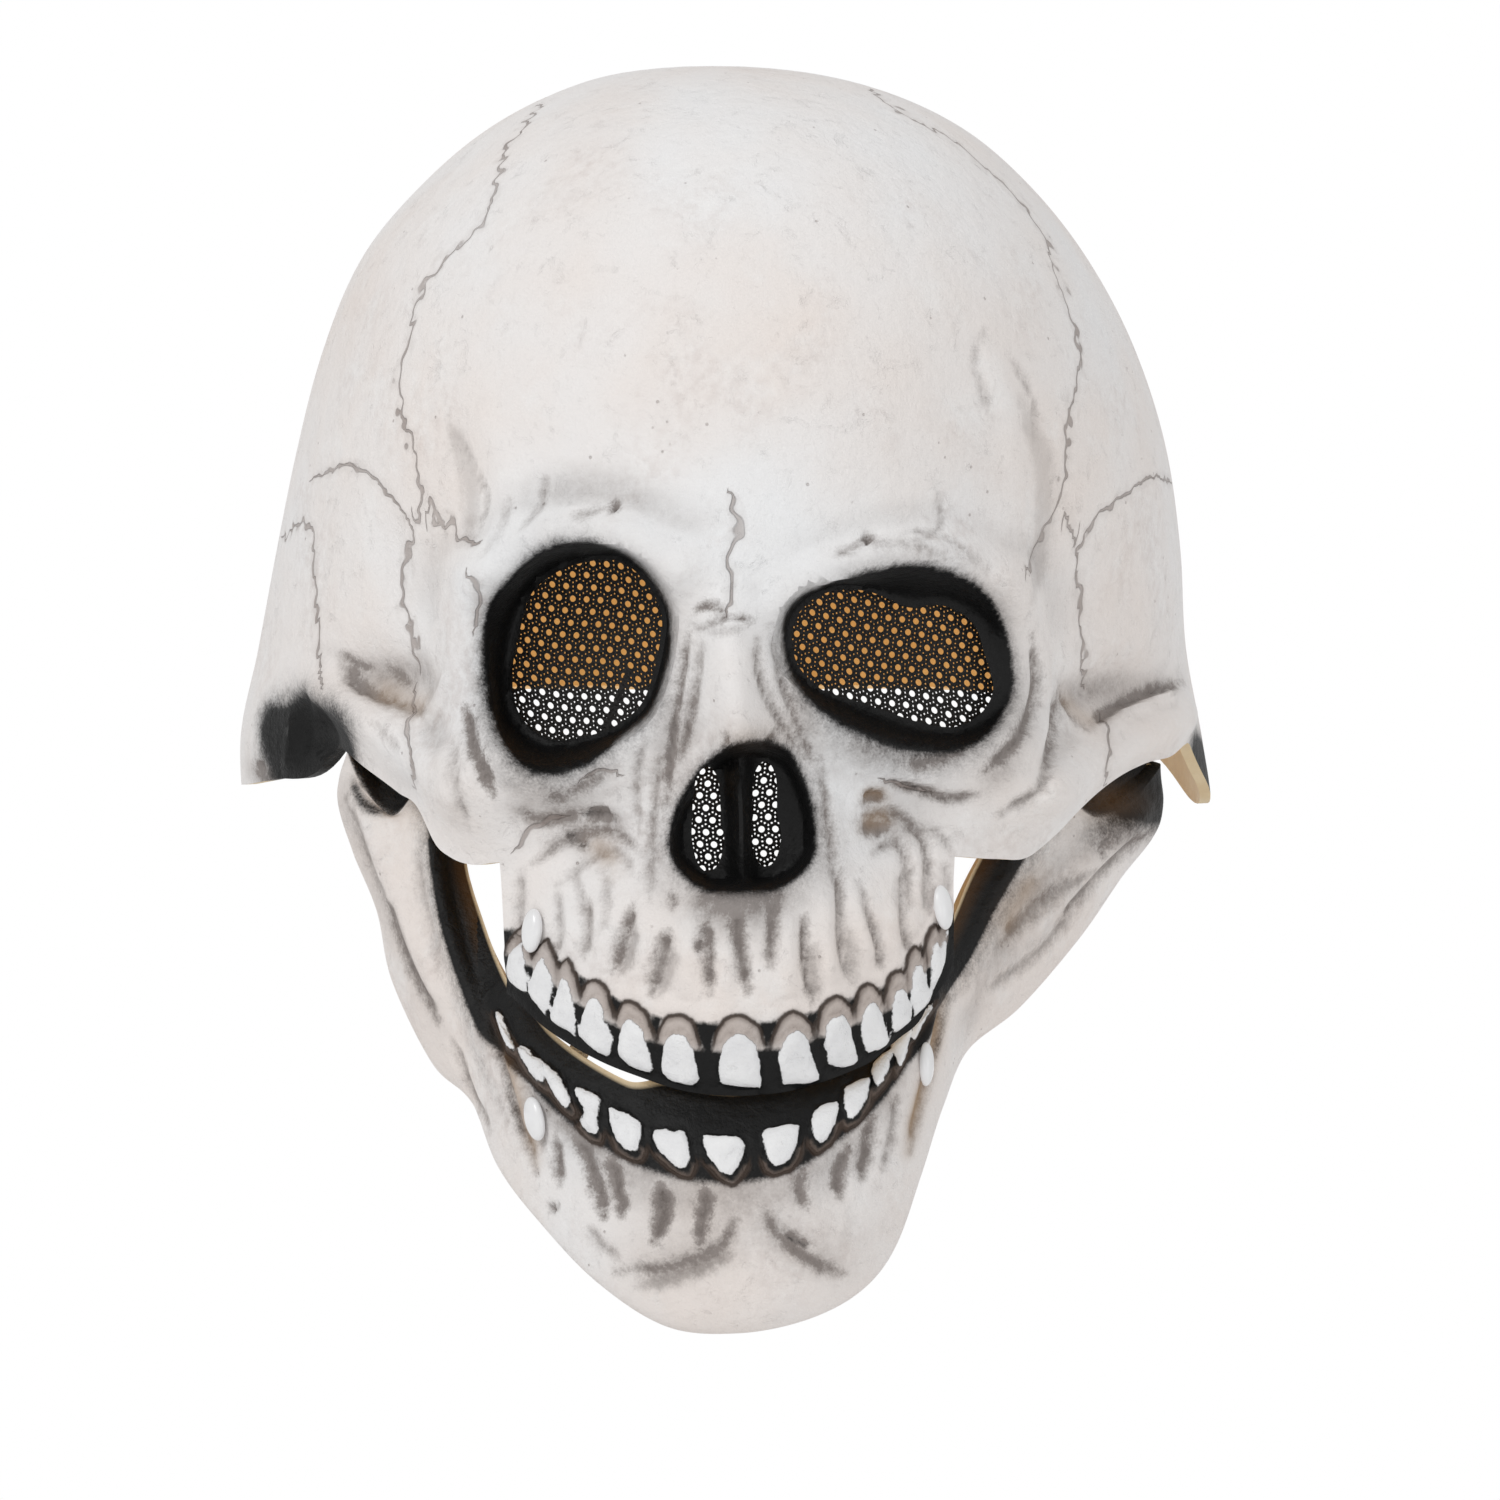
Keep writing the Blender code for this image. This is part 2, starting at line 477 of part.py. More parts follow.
def ellipse_ring(centre, axes, wide, tall, count):
    """Points of an oval about a centre, across two axes."""
    t = np.arange(count) * 2 * math.pi / count
    return centre + np.outer(np.cos(t) * wide, axes[0]) + np.outer(np.sin(t) * tall, axes[1])


def loft(name, rings, caps, colour, collection):
    """Closed body through equal rings, closed by a point at each end."""
    count = len(rings[0])
    points = [caps[0]] + [p for r in rings for p in r] + [caps[1]]
    last = len(points) - 1
    faces = [(0, 1 + i, 1 + (i + 1) % count) for i in range(count)]
    for k in range(len(rings) - 1):
        a, b = 1 + k * count, 1 + (k + 1) * count
        faces += [(a + i, b + i, b + (i + 1) % count, a + (i + 1) % count) for i in range(count)]
    a = 1 + (len(rings) - 1) * count
    faces += [(last, a + (i + 1) % count, a + i) for i in range(count)]
    return make_object(name, points, faces, colour, collection)


def stud_seats():
    """Place and outward direction of each stud on its shell."""
    seats = []
    for s in STUDS:
        target = np.array([s.x, CROWN - s.drop])
        if "upper" in s.name:
            turn = np.radians(np.linspace(-60, 60, 961))
            line = skull_surface(turn, np.full(961, s.drop))
            k = int(np.argmin(np.abs(line[:, 0] - s.x)))
            near = skull_surface(turn[k] + np.array([0, 0.06, 0, -0.06, 0]), s.drop + np.array([0, 0, 3.0, 0, -3.0]))
        else:
            u, v = np.meshgrid(np.linspace(4, 18, 281), np.linspace(2.0, 4.2, 45), indexing="ij")
            grid = jaw_grid(u[:, 0], v[0])
            away = np.hypot(grid[..., 0] - target[0], grid[..., 2] - target[1])
            i, j = np.unravel_index(np.argmin(away), away.shape)
            grid = jaw_grid(u[i, 0] + np.array([-0.3, 0, 0.3]), v[0, j] + np.array([-0.35, 0, 0.35]))
            near = np.array([grid[1, 1], grid[2, 1], grid[1, 0], grid[0, 1], grid[1, 2]])
        normal = np.cross(near[1] - near[3], near[2] - near[4])
        normal /= np.linalg.norm(normal)
        if normal[1] > 0:
            normal = -normal
        seats.append((near[0], normal))
    return seats


def stud_axes(normal, tilt):
    """Across and upright directions of a stud's oval head."""
    across = np.cross(normal, [0.0, 0.0, 1.0])
    across /= np.linalg.norm(across)
    upright = np.cross(across, normal)
    t = math.radians(tilt)
    return across * math.cos(t) + upright * math.sin(t), upright * math.cos(t) - across * math.sin(t)


def add_stud(stud, seat, normal, wall, collection):
    """Domed oval head, round shank through the shell, and oval washer inside."""
    axes = stud_axes(normal, stud.tilt)
    base = seat + normal * 0.7
    inside = base - normal * (0.7 + wall + 0.5 * STRAP_SPACE + 1.1)
    dome = [(0.42, 1.75), (0.78, 1.35), (1.0, 0.7), (1.0, 0.0)]
    rings = [ellipse_ring(base + normal * up, axes, stud.wide * size, stud.tall * size, 10) for size, up in dome]
    rings.append(ellipse_ring(base, axes, SHANK, SHANK, 10))
    rings.append(ellipse_ring(inside, axes, SHANK, SHANK, 10))
    rings.append(ellipse_ring(inside, axes, 2.0, 2.6, 10))
    rings.append(ellipse_ring(inside - normal * 0.8, axes, 2.0, 2.6, 10))
    return loft(stud.name, rings, (base + normal * 1.9, inside - normal * 0.8), (0.9, 0.9, 0.9), collection)


def add_strap(name, upper, lower, collection):
    """Flat elastic band inside, from the upper stud to the lower one."""
    back = SKULL_WALL + 0.5 * STRAP_SPACE
    ends = []
    for seat, normal in (upper, lower):
        fall = stud_axes(normal, 0)[1]
        ends += [seat - normal * back + fall * side for side in ((4.2, -3.2) if seat is upper[0] else (3.2, -4.2))]
    middle = 0.5 * (ends[1] + ends[2]) - (upper[1] + lower[1]) * 0.5 * STRAP_BOW
    path = np.array([ends[0], ends[1], 0.3 * ends[1] + 0.7 * middle, middle, 0.3 * ends[2] + 0.7 * middle,
                     ends[2], ends[3]])
    share = np.array([0, 0, 0.3, 0.5, 0.7, 1, 1])[:, None]
    normal = upper[1] * (1 - share) + lower[1] * share
    along = np.gradient(path, axis=0)
    along[[0, 1]] = path[1] - path[0]
    along[[-2, -1]] = path[-1] - path[-2]
    across = np.cross(normal, along)
    across /= np.linalg.norm(across, axis=1)[:, None]
    normal = np.cross(along, across)
    normal /= np.linalg.norm(normal, axis=1)[:, None]
    sides = [(1, 1), (1, -1), (-1, -1), (-1, 1)]
    rings = [[path[i] + across[i] * 3.6 * w + normal[i] * 0.5 * STRAP_THICK * t for w, t in sides] for i in range(7)]
    return loft(name, rings, (path[0], path[-1]), (0.85, 0.84, 0.82), collection)


def add_net(name, opening, grow, collection, lift=0.0):
    """Knit net panel lying behind an opening's floor."""
    outline = outline_points(opening, opening.hole, 20, grow)
    lean = 1.0 / math.sqrt(1 + opening.slope ** 2)
    across = np.array([opening.slope * lean, lean, 0.0])
    outline[:, 1] = opening_floor(opening, outline[:, 0]) + (SKULL_WALL + GAP + lift) / lean
    centre = outline.mean(axis=0)
    centre[1] = opening_floor(opening, centre[0]) + (SKULL_WALL + GAP + lift) / lean
    return loft(name, [outline, outline + across * NET_THICK], (centre, centre + across * NET_THICK),
                (0.03, 0.03, 0.03), collection)


def build():
    for obj in list(bpy.data.objects):
        bpy.data.objects.remove(obj, do_unlink=True)
    parts = bpy.data.collections.new("skull_mask")
    cutters = bpy.data.collections.new("skull_mask_cutters")
    bpy.context.scene.collection.children.link(parts)
    bpy.context.scene.collection.children.link(cutters)
    forward = np.array([0.0, 1.0, 0.0])

    # Skull sheet: columns are closest together over the face and rows over the sockets and nose
    front = np.linspace(-MAXILLA_ANGLE, MAXILLA_ANGLE, 31)
    side = np.array([38.4, 41.4, 44.6, 47.9, 51.4, 55.4, 60, 65, 70.5, 77, 84, 92, 101, 110, 120, 130, 140, 150, 160,
                     170])
    degrees = np.concatenate([-side[::-1], front, side, [180.0]])
    drops = [0, 0.9, 3.4, 7.4, 12.5, 19, 27.5, 37.5, 48.5, 60, 71, 80.5, 87.5]
    drops += list(np.linspace(92.2, 162, 18))
    skull = skull_grid(np.radians(degrees), np.array(drops) / 162.0, 8, 1.2)
    points, faces = grid_mesh(skull, 12)
    solid_points, solid_faces = thicken(points, faces, SKULL_WALL, 16)
    shell = make_object("skull_shell", solid_points, solid_faces, (0.82, 0.79, 0.75), parts)
    for o in SOCKETS:
        cut(shell, prism(o.name + "_cutter", outline_points(o, o.hole, 28), forward, -140, -35, cutters))
    for o in SLOTS:
        cut(shell, prism(o.name + "_cutter", outline_points(o, o.rim, 16), forward, -140, -70, cutters))

    # Jaw sheet
    along = np.linspace(0, len(JAW_SECTIONS) - 1, 41)
    across = np.array([0, 0.6, 1, 1.6, 2.2, 2.8, 3.4, 4, 4.5, 5.2, 6])
    points, faces = sheet_mesh(jaw_grid(along, across))
    faces = [tuple(reversed(f)) for f in faces]
    solid_points, solid_faces = thicken(points, faces, JAW_WALL, 8)
    jaw = make_object("jaw_shell", solid_points, solid_faces, (0.80, 0.77, 0.73), parts)

    # Nets behind the holes
    add_net("eye_net_left", SOCKETS[0], 2.6, parts, 0.9)
    add_net("eye_net_right", SOCKETS[1], 2.6, parts, 0.9)
    add_net("nose_net", NOSE, -1.0, parts, 1.4)

    # Studs, their holes, and the elastic bands that they fasten
    seats = stud_seats()
    straps = [add_strap("jaw_strap_left", seats[0], seats[2], parts),
              add_strap("jaw_strap_right", seats[1], seats[3], parts)]
    for i, (stud, (seat, normal)) in enumerate(zip(STUDS, seats)):
        axes = stud_axes(normal, 0)
        hole = ellipse_ring(seat, axes, SHANK + 0.35, SHANK + 0.35, 8)
        through = prism(stud.name + "_cutter", hole, normal, -9, 3, cutters)
        upper = "upper" in stud.name
        cut(shell if upper else jaw, through)
        cut(straps[i % 2], through)
        add_stud(stud, seat, normal, SKULL_WALL if upper else JAW_WALL, parts)


build()
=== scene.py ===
"""Looks of the skull mask: painted latex skull and jaw, knit nets, snap studs and elastic bands.

Sizes are in millimetres: x runs to the right of someone facing the mask, "drop" is the distance
down from the top of the crown, and the face looks along -Y. The folds, seams, paint strokes and
teeth of the front view are points read off the front picture, in its pixels, and turned
into millimetres here. The plan of the head and the openings repeat the part's source.
"""
import math
from collections import namedtuple

import bpy
import numpy as np
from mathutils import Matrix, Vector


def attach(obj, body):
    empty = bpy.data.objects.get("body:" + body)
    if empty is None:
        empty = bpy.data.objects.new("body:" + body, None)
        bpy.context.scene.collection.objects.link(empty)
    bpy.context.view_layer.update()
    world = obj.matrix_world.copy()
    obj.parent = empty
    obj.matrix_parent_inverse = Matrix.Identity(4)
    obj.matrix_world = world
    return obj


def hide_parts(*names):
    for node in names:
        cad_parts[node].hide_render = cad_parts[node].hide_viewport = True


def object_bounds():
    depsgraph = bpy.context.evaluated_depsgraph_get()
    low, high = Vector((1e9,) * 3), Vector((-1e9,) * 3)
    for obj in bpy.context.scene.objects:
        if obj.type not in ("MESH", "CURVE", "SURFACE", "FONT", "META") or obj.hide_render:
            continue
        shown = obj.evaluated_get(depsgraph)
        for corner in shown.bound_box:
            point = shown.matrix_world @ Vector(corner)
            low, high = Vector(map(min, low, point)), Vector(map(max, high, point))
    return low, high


bl_info = {
    "name": "Skull mask looks",
    "version": (1, 0, 0),
    "blender": (4, 5, 0),
    "location": "3D View > Sidebar > Mask",
    "description": "Painted latex, teeth, nets, studs and stage of the skull mask",
    "category": "Object",
}

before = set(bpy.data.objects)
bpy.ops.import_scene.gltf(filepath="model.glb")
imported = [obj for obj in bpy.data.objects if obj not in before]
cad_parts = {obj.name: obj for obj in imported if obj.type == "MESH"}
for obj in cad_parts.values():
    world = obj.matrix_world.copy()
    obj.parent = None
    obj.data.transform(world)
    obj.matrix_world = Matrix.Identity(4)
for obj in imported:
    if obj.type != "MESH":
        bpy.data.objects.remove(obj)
CAD_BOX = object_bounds()

MM = 0.001
SKULL_WALL = 2.2
JAW_WALL = 2.0
GAP = 0.3
CROWN = SKULL_WALL
STRAP_SPACE = 3.4
STRAP_BOW = 11.0
RELIEF = (-1.6, 2.2)
JAW_DEEPEST = -1.5
PAST_BOX = 1.5
FOLD_DEPTH = 1.3
FOLD_WASH_AND_SHADE = 1.35

# Scale of the front picture, and its pixel at the top of the crown
MM_PER_PIXEL = 0.2025
CROWN_COLUMN = 735
CROWN_ROW = 62


def from_picture(path):
    """Points read off the front picture, as x and drop to a tenth of a millimetre."""
    return [(round((column - CROWN_COLUMN) * MM_PER_PIXEL, 1), round((row - CROWN_ROW) * MM_PER_PIXEL, 1))
            for column, row in path]


def measured(kind, rows):
    """Rows of one kind: three values, and then the points of its path on the picture."""
    return [kind(*row[:3], from_picture(row[3:])) for row in rows]


# Plan of the head at each drop: side limits, front, widest place, back, and how far the face tapers
Section = namedtuple("Section", "drop left right front middle back taper")
SKULL_SECTIONS = [
    Section(0.0, -4.6, -4.6, 6.0, 6.0, 6.0, 0.0),
    Section(1.6, -24.1, 16.2, -22.0, 7.0, 34.0, 0.0),
    Section(5.7, -37.1, 32.0, -42.0, 8.0, 54.0, 0.0),
    Section(12.8, -50.4, 46.6, -61.0, 10.0, 75.0, 0.0),
    Section(22.9, -62.6, 58.7, -76.0, 12.0, 91.0, 0.0),
    Section(38.1, -75.5, 71.1, -89.5, 14.0, 103.0, 0.0),
    Section(58.3, -84.2, 81.8, -98.5, 16.0, 110.0, 0.02),
    Section(78.6, -89.5, 88.1, -102.5, 18.0, 114.0, 0.06),
    Section(98.8, -93.6, 90.9, -102.5, 20.0, 113.5, 0.12),
    Section(119.1, -97.4, 92.1, -99.0, 22.0, 109.0, 0.19),
    Section(137.3, -101.0, 95.4, -97.0, 25.0, 102.0, 0.24),
    Section(150.0, -100.6, 97.2, -96.5, 25.0, 96.0, 0.25),
    Section(166.0, -99.5, 96.6, -96.5, 25.0, 90.0, 0.25),
    Section(186.0, -98.0, 96.0, -96.0, 25.0, 84.0, 0.25),
    Section(210.0, -96.0, 95.0, -95.0, 25.0, 78.0, 0.25),
]

# Lower border of the skull sheet: angle round the head from the nose, drop of the border
Border = namedtuple("Border", "angle drop")
BORDER_LEFT = [
    Border(0, 162.0), Border(36, 162.0), Border(40, 162.4), Border(43, 161.0), Border(45.5, 158.0),
    Border(47.5, 151.5), Border(51, 148.0), Border(56, 143.4), Border(61, 139.2), Border(65, 138.4),
    Border(68.5, 143.5), Border(76, 145.2), Border(92, 146.3), Border(104, 144.5), Border(116, 137.0),
    Border(130, 129.5), Border(150, 127.0), Border(180, 127.0),
]
BORDER_RIGHT = [
    Border(0, 162.0), Border(36, 160.8), Border(42, 161.3), Border(47, 160.8), Border(50, 157.5),
    Border(54, 152.0), Border(61, 145.4), Border(68, 142.0), Border(75, 140.6), Border(81, 138.0),
    Border(86, 144.0), Border(92, 149.0), Border(102, 149.0), Border(112, 141.0), Border(122, 134.0),
    Border(134, 129.0), Border(150, 127.0), Border(180, 127.0),
]
MAXILLA_ANGLE = 35.5

# Tooth edge of the upper jaw, from one side to the other
ToothEdge = namedtuple("ToothEdge", "x drop")
UPPER_EDGE = [
    ToothEdge(-45.5, 188.5), ToothEdge(-38.8, 195.0), ToothEdge(-34.2, 198.2), ToothEdge(-27.8, 201.8),
    ToothEdge(-19.8, 205.0), ToothEdge(-10.8, 207.8), ToothEdge(1.0, 208.8), ToothEdge(12.5, 207.5),
    ToothEdge(21.3, 204.7), ToothEdge(27.7, 201.8), ToothEdge(33.0, 197.4), ToothEdge(37.1, 194.0),
    ToothEdge(40.2, 189.0), ToothEdge(44.5, 183.5),
]

# Rounded forms of the face: place, half sizes, tilt, height pushed out, share pushed sideways
Bump = namedtuple("Bump", "name x drop wide tall tilt push aside")
BUMPS = [
    Bump("forehead_left", -28, 56, 24, 20, 0, 1.6, 0.3),
    Bump("forehead_right", 27, 58, 24, 20, 0, 1.6, 0.3),
    Bump("glabella", -3, 103, 13, 8, 0, 3.4, 0.0),
    Bump("nasion", -1.5, 117.5, 8, 5.5, 0, -3.6, 0.0),
    Bump("cheekbone_left", -50, 149, 11, 9.5, -25, 10.5, 0.25),
    Bump("cheekbone_right", 56, 148, 12, 9.5, 25, 11.0, 0.25),
    Bump("canine_hollow_left", -28, 156, 9, 9, 0, -4.0, 0.0),
    Bump("canine_hollow_right", 31, 155, 9, 9, 0, -4.0, 0.0),
    Bump("nasal_spine", 1, 171, 7, 5, 0, 3.0, 0.0),
    Bump("upper_jaw", 0, 181, 35, 26, 0, 10.5, 0.0),
    Bump("temple_left", -66, 106, 11, 17, 0, -3.5, 0.7),
    Bump("temple_right", 70, 107, 11, 17, 0, -3.5, 0.7),
    Bump("arch_dent_left", -71, 124, 10, 6, 12, -5.0, 0.75),
    Bump("arch_dent_right", 76, 127, 12, 5.5, -14, -5.0, 0.75),
    Bump("ear_hollow_left", -87, 136, 5.5, 9, 0, -6.0, 1.0),
    Bump("mastoid_left", -99, 138, 4.5, 9, 0, 1.2, 1.0),
]

# Raised and sunk strokes of the face: three points of a curve, half width, height, share sideways
Stroke = namedtuple("Stroke", "name x0 drop0 x1 drop1 x2 drop2 width push aside")
STROKES = [
    Stroke("brow_left", -51, 105, -33, 87, -12, 103, 6.0, 5.2, 0.1),
    Stroke("brow_right", 12, 110, 34, 92, 56, 107, 6.0, 5.2, 0.1),
    Stroke("outer_rim_left", -54, 104, -59, 122, -51, 140, 5.0, 5.0, 0.35),
    Stroke("outer_rim_right", 56, 106, 63, 122, 57, 137, 5.0, 5.0, 0.35),
    Stroke("lower_rim_left", -52, 139, -35, 149, -16, 134, 5.5, 4.2, 0.0),
    Stroke("lower_rim_right", 55, 137, 36, 146, 13, 131, 5.5, 4.2, 0.0),
    Stroke("nose_bridge", -1, 116, 0, 128, 1.5, 139, 7.0, 12.0, 0.0),
    Stroke("arch_left", -56, 147, -68, 135, -84, 128, 5.0, 6.5, 0.65),
    Stroke("arch_right", 62, 148, 78, 137, 99, 128, 5.0, 6.5, 0.65),
]

# Outline of each deep opening, clockwise from straight up: radius of the rim and of the hole
Opening = namedtuple("Opening", "name x drop floor slope rim hole")
SOCKETS = [
    Opening("eye_left", -30.4, 118.7, -77.0, 0.5,
            (21.8, 20.6, 19.2, 18.4, 17.4, 16.9, 18.1, 18.9, 23.5, 26.7, 24.9, 21.7, 20.7, 21.0, 20.5, 21.8),
            (17.2, 18.8, 18.0, 16.9, 15.1, 14.9, 16.2, 16.9, 17.9, 19.7, 18.6, 15.7, 13.8, 13.6, 15.2, 16.1)),
    Opening("eye_right", 32.0, 120.1, -77.0, -0.5,
            (18.1, 19.5, 21.5, 22.9, 23.6, 24.8, 24.2, 20.8, 18.2, 16.9, 17.7, 19.6, 21.8, 23.2, 19.9, 18.1),
            (10.8, 10.2, 14.0, 17.2, 18.4, 21.5, 19.9, 14.8, 11.9, 11.3, 12.6, 16.7, 20.1, 20.9, 18.0, 13.8)),
]
NOSE = Opening("nose", 1.6, 153.1, -91.0, 0.0,
               (15.1, 16.4, 14.3, 14.2, 16.0, 15.7, 14.6, 16.1, 16.3, 14.0, 12.7, 13.4),
               (12.6, 13.0, 11.6, 11.8, 13.5, 13.2, 12.2, 13.6, 13.6, 11.4, 10.3, 11.0))
SLOTS = [
    Opening("slot_left", -5.5, 153.5, 0.0, 0.0,
            (10.9, 4.9, 3.1, 2.8, 3.5, 6.3, 10.3, 5.8, 3.7, 3.1, 3.5, 5.6), ()),
    Opening("slot_right", 6.1, 152.2, 0.0, 0.0,
            (10.6, 4.6, 2.7, 2.4, 3.1, 6.2, 10.6, 5.4, 3.0, 2.4, 2.8, 5.0), ()),
]
SEPTUM = Stroke("septum", 1.0, 138, 1.0, 153, 1.8, 168, 1.9, 5.0, 0.0)

# The jaw as sections from the left knob round the chin to the right knob. "out" is the lower
# and rear outline, "ridge" the gum line or front edge, "edge" the cut inner edge, "look" the
# angle that the face looks to, "belly" its swell, "tuck" the rolled lip, "notch" the saddle
Jaw = namedtuple("Jaw", "out_x out_y out_drop ridge_x ridge_y ridge_drop edge_x edge_y edge_drop "
                        "look belly tuck notch")
JAW_SECTIONS = [
    Jaw(-78.5, -28.0, 139.6, -64.0, -43.5, 147.0, -56.0, -43.0, 150.0, -48, 0.8, 3.0, 8.0),
    Jaw(-80.6, -26.0, 149.0, -62.2, -48.0, 153.5, -55.0, -46.5, 156.0, -56, 1.8, 4.0, 2.0),
    Jaw(-77.5, -24.5, 160.0, -61.0, -51.0, 163.0, -53.8, -50.0, 164.5, -60, 2.4, 5.0, 0.0),
    Jaw(-72.5, -25.0, 172.0, -59.0, -54.0, 174.0, -50.8, -54.5, 174.0, -63, 2.6, 6.0, 0.0),
    Jaw(-69.4, -28.0, 186.0, -55.0, -59.0, 186.5, -47.8, -60.0, 182.0, -66, 2.6, 7.0, 0.0),
    Jaw(-61.0, -35.0, 203.0, -50.5, -66.0, 197.0, -44.8, -67.0, 187.6, -68, 2.4, 7.0, 0.0),
    Jaw(-53.2, -50.0, 210.5, -45.5, -75.5, 202.3, -41.0, -70.5, 190.2, -62, 2.0, 7.0, 0.0),
    Jaw(-47.6, -65.0, 223.8, -38.5, -85.0, 209.6, -36.5, -78.5, 195.0, -54, 1.6, 7.0, 0.0),
    Jaw(-38.7, -80.5, 235.2, -30.5, -93.0, 216.4, -30.0, -86.0, 199.8, -45, 1.6, 8.0, 0.0),
    Jaw(-27.7, -91.5, 246.4, -20.5, -99.0, 222.2, -21.5, -93.0, 204.4, -33, 2.2, 9.0, 0.0),
    Jaw(-14.0, -98.0, 254.9, -10.0, -102.8, 225.2, -10.0, -99.2, 208.6, -17, 3.2, 10.0, 0.0),
    Jaw(0.5, -100.0, 256.2, 1.0, -103.6, 225.8, 0.0, -100.0, 210.0, 0, 3.6, 10.0, 0.0),
    Jaw(14.5, -98.5, 253.6, 11.5, -102.4, 223.6, 10.0, -98.4, 209.0, 17, 3.2, 10.0, 0.0),
    Jaw(25.2, -93.5, 248.2, 20.5, -98.4, 217.8, 19.5, -92.6, 205.4, 34, 2.2, 9.0, 0.0),
    Jaw(32.0, -86.0, 240.0, 28.0, -92.5, 211.4, 27.0, -84.5, 200.6, 48, 1.6, 8.0, 0.0),
    Jaw(37.2, -76.0, 225.6, 34.0, -85.0, 203.8, 33.5, -80.5, 194.4, 58, 1.6, 7.0, 0.0),
    Jaw(41.4, -62.0, 212.0, 38.6, -76.5, 197.0, 37.4, -74.6, 187.4, 66, 2.0, 7.0, 0.0),
    Jaw(46.5, -46.0, 200.5, 43.0, -67.0, 188.4, 41.6, -66.0, 179.4, 70, 2.4, 7.0, 0.0),
    Jaw(57.5, -33.0, 191.6, 47.6, -60.0, 181.0, 44.4, -60.5, 172.4, 70, 2.6, 7.0, 0.0),
    Jaw(69.7, -20.0, 177.8, 52.0, -54.5, 172.4, 47.2, -56.0, 165.6, 64, 2.6, 6.0, 0.0),
    Jaw(78.4, -14.0, 165.4, 57.0, -50.0, 164.0, 50.6, -52.0, 159.0, 59, 2.4, 5.0, 0.0),
    Jaw(86.2, -12.0, 154.6, 62.0, -46.0, 155.6, 54.4, -48.5, 152.8, 55, 1.8, 4.0, 2.0),
    Jaw(86.4, -13.5, 142.6, 66.0, -42.0, 147.4, 58.4, -44.5, 148.0, 54, 0.8, 3.0, 7.0),
]

# Oval snap studs: place on the face, the shell that carries it, half sizes of the head, tilt
Stud = namedtuple("Stud", "name x drop wide tall tilt")
STUDS = [
    Stud("stud_upper_left", -40.0, 175.8, 2.5, 4.5, 0),
    Stud("stud_upper_right", 41.2, 171.2, 2.3, 4.6, 0),
    Stud("stud_lower_left", -39.2, 213.6, 2.8, 4.6, -18),
    Stud("stud_lower_right", 37.4, 202.8, 2.0, 4.5, 8),
]

# Seams between the bones: the side they are seen from, how jagged they run, and their path
Seam = namedtuple("Seam", "side jagged path")
SEAMS = [Seam("front", jagged, from_picture(path)) for jagged, *path in [
    (1, (537, 103), (518, 128), (500, 155), (495, 183), (489, 205), (474, 229), (451, 250), (430, 273),
        (420, 293), (409, 314), (407, 342), (399, 369), (397, 396), (403, 423), (414, 453), (420, 484),
        (430, 499)),
    (1, (430, 499), (435, 526), (451, 518), (456, 537), (474, 539)),
    (1, (430, 499), (412, 530), (409, 553), (403, 595), (409, 625), (418, 665)),
    (0.5, (311, 476), (349, 465), (372, 480), (391, 499), (407, 522)),
    (1, (280, 534), (292, 524), (305, 522)),
    (0.7, (305, 522), (309, 537), (311, 576), (313, 614), (318, 680)),
    (1, (874, 88), (907, 111), (949, 132), (991, 166), (1018, 193), (1046, 231), (1056, 262), (1069, 300),
        (1081, 342), (1083, 365), (1077, 392), (1071, 423), (1069, 453), (1065, 499)),
    (0.8, (1065, 499), (1056, 518), (1037, 553), (1029, 572)),
    (0.8, (1065, 499), (1073, 530), (1079, 560), (1079, 595), (1083, 633), (1085, 680)),
    (0.5, (1174, 480), (1159, 474), (1129, 493), (1098, 518), (1083, 545)),
    (0.8, (733, 500), (737, 530), (728, 560), (733, 585), (727, 606)),
    (0.35, (413, 692), (409, 725), (410, 750), (413, 780)),
    (0.35, (1106, 717), (1111, 742), (1108, 778)),
    (0.4, (519, 845), (534, 828), (560, 818)),
    (0.4, (588, 778), (599, 771), (614, 773)),
    (0.4, (886, 780), (905, 788), (922, 792)),
    (0.4, (472, 578), (481, 595), (478, 625)),
]]

# Seams of the cap, which no picture shows: millimetres, seen from above and from behind
SEAMS += [
    Seam("top", 1, ((-40, 2), (-33, 14), (-18, 22), (-4, 25), (10, 22), (21, 14), (28, 4))),
    Seam("top", 1, ((-4, 25), (-6, 45), (-3, 65), (-4, 84), (-3, 98))),
    Seam("back", 1, ((-3, 40), (-4, 52), (-3, 62))),
    Seam("back", 1, ((-3, 62), (-22, 74), (-44, 88), (-62, 106), (-74, 124))),
    Seam("back", 1, ((-3, 62), (18, 73), (38, 90), (56, 107), (68, 126))),
]
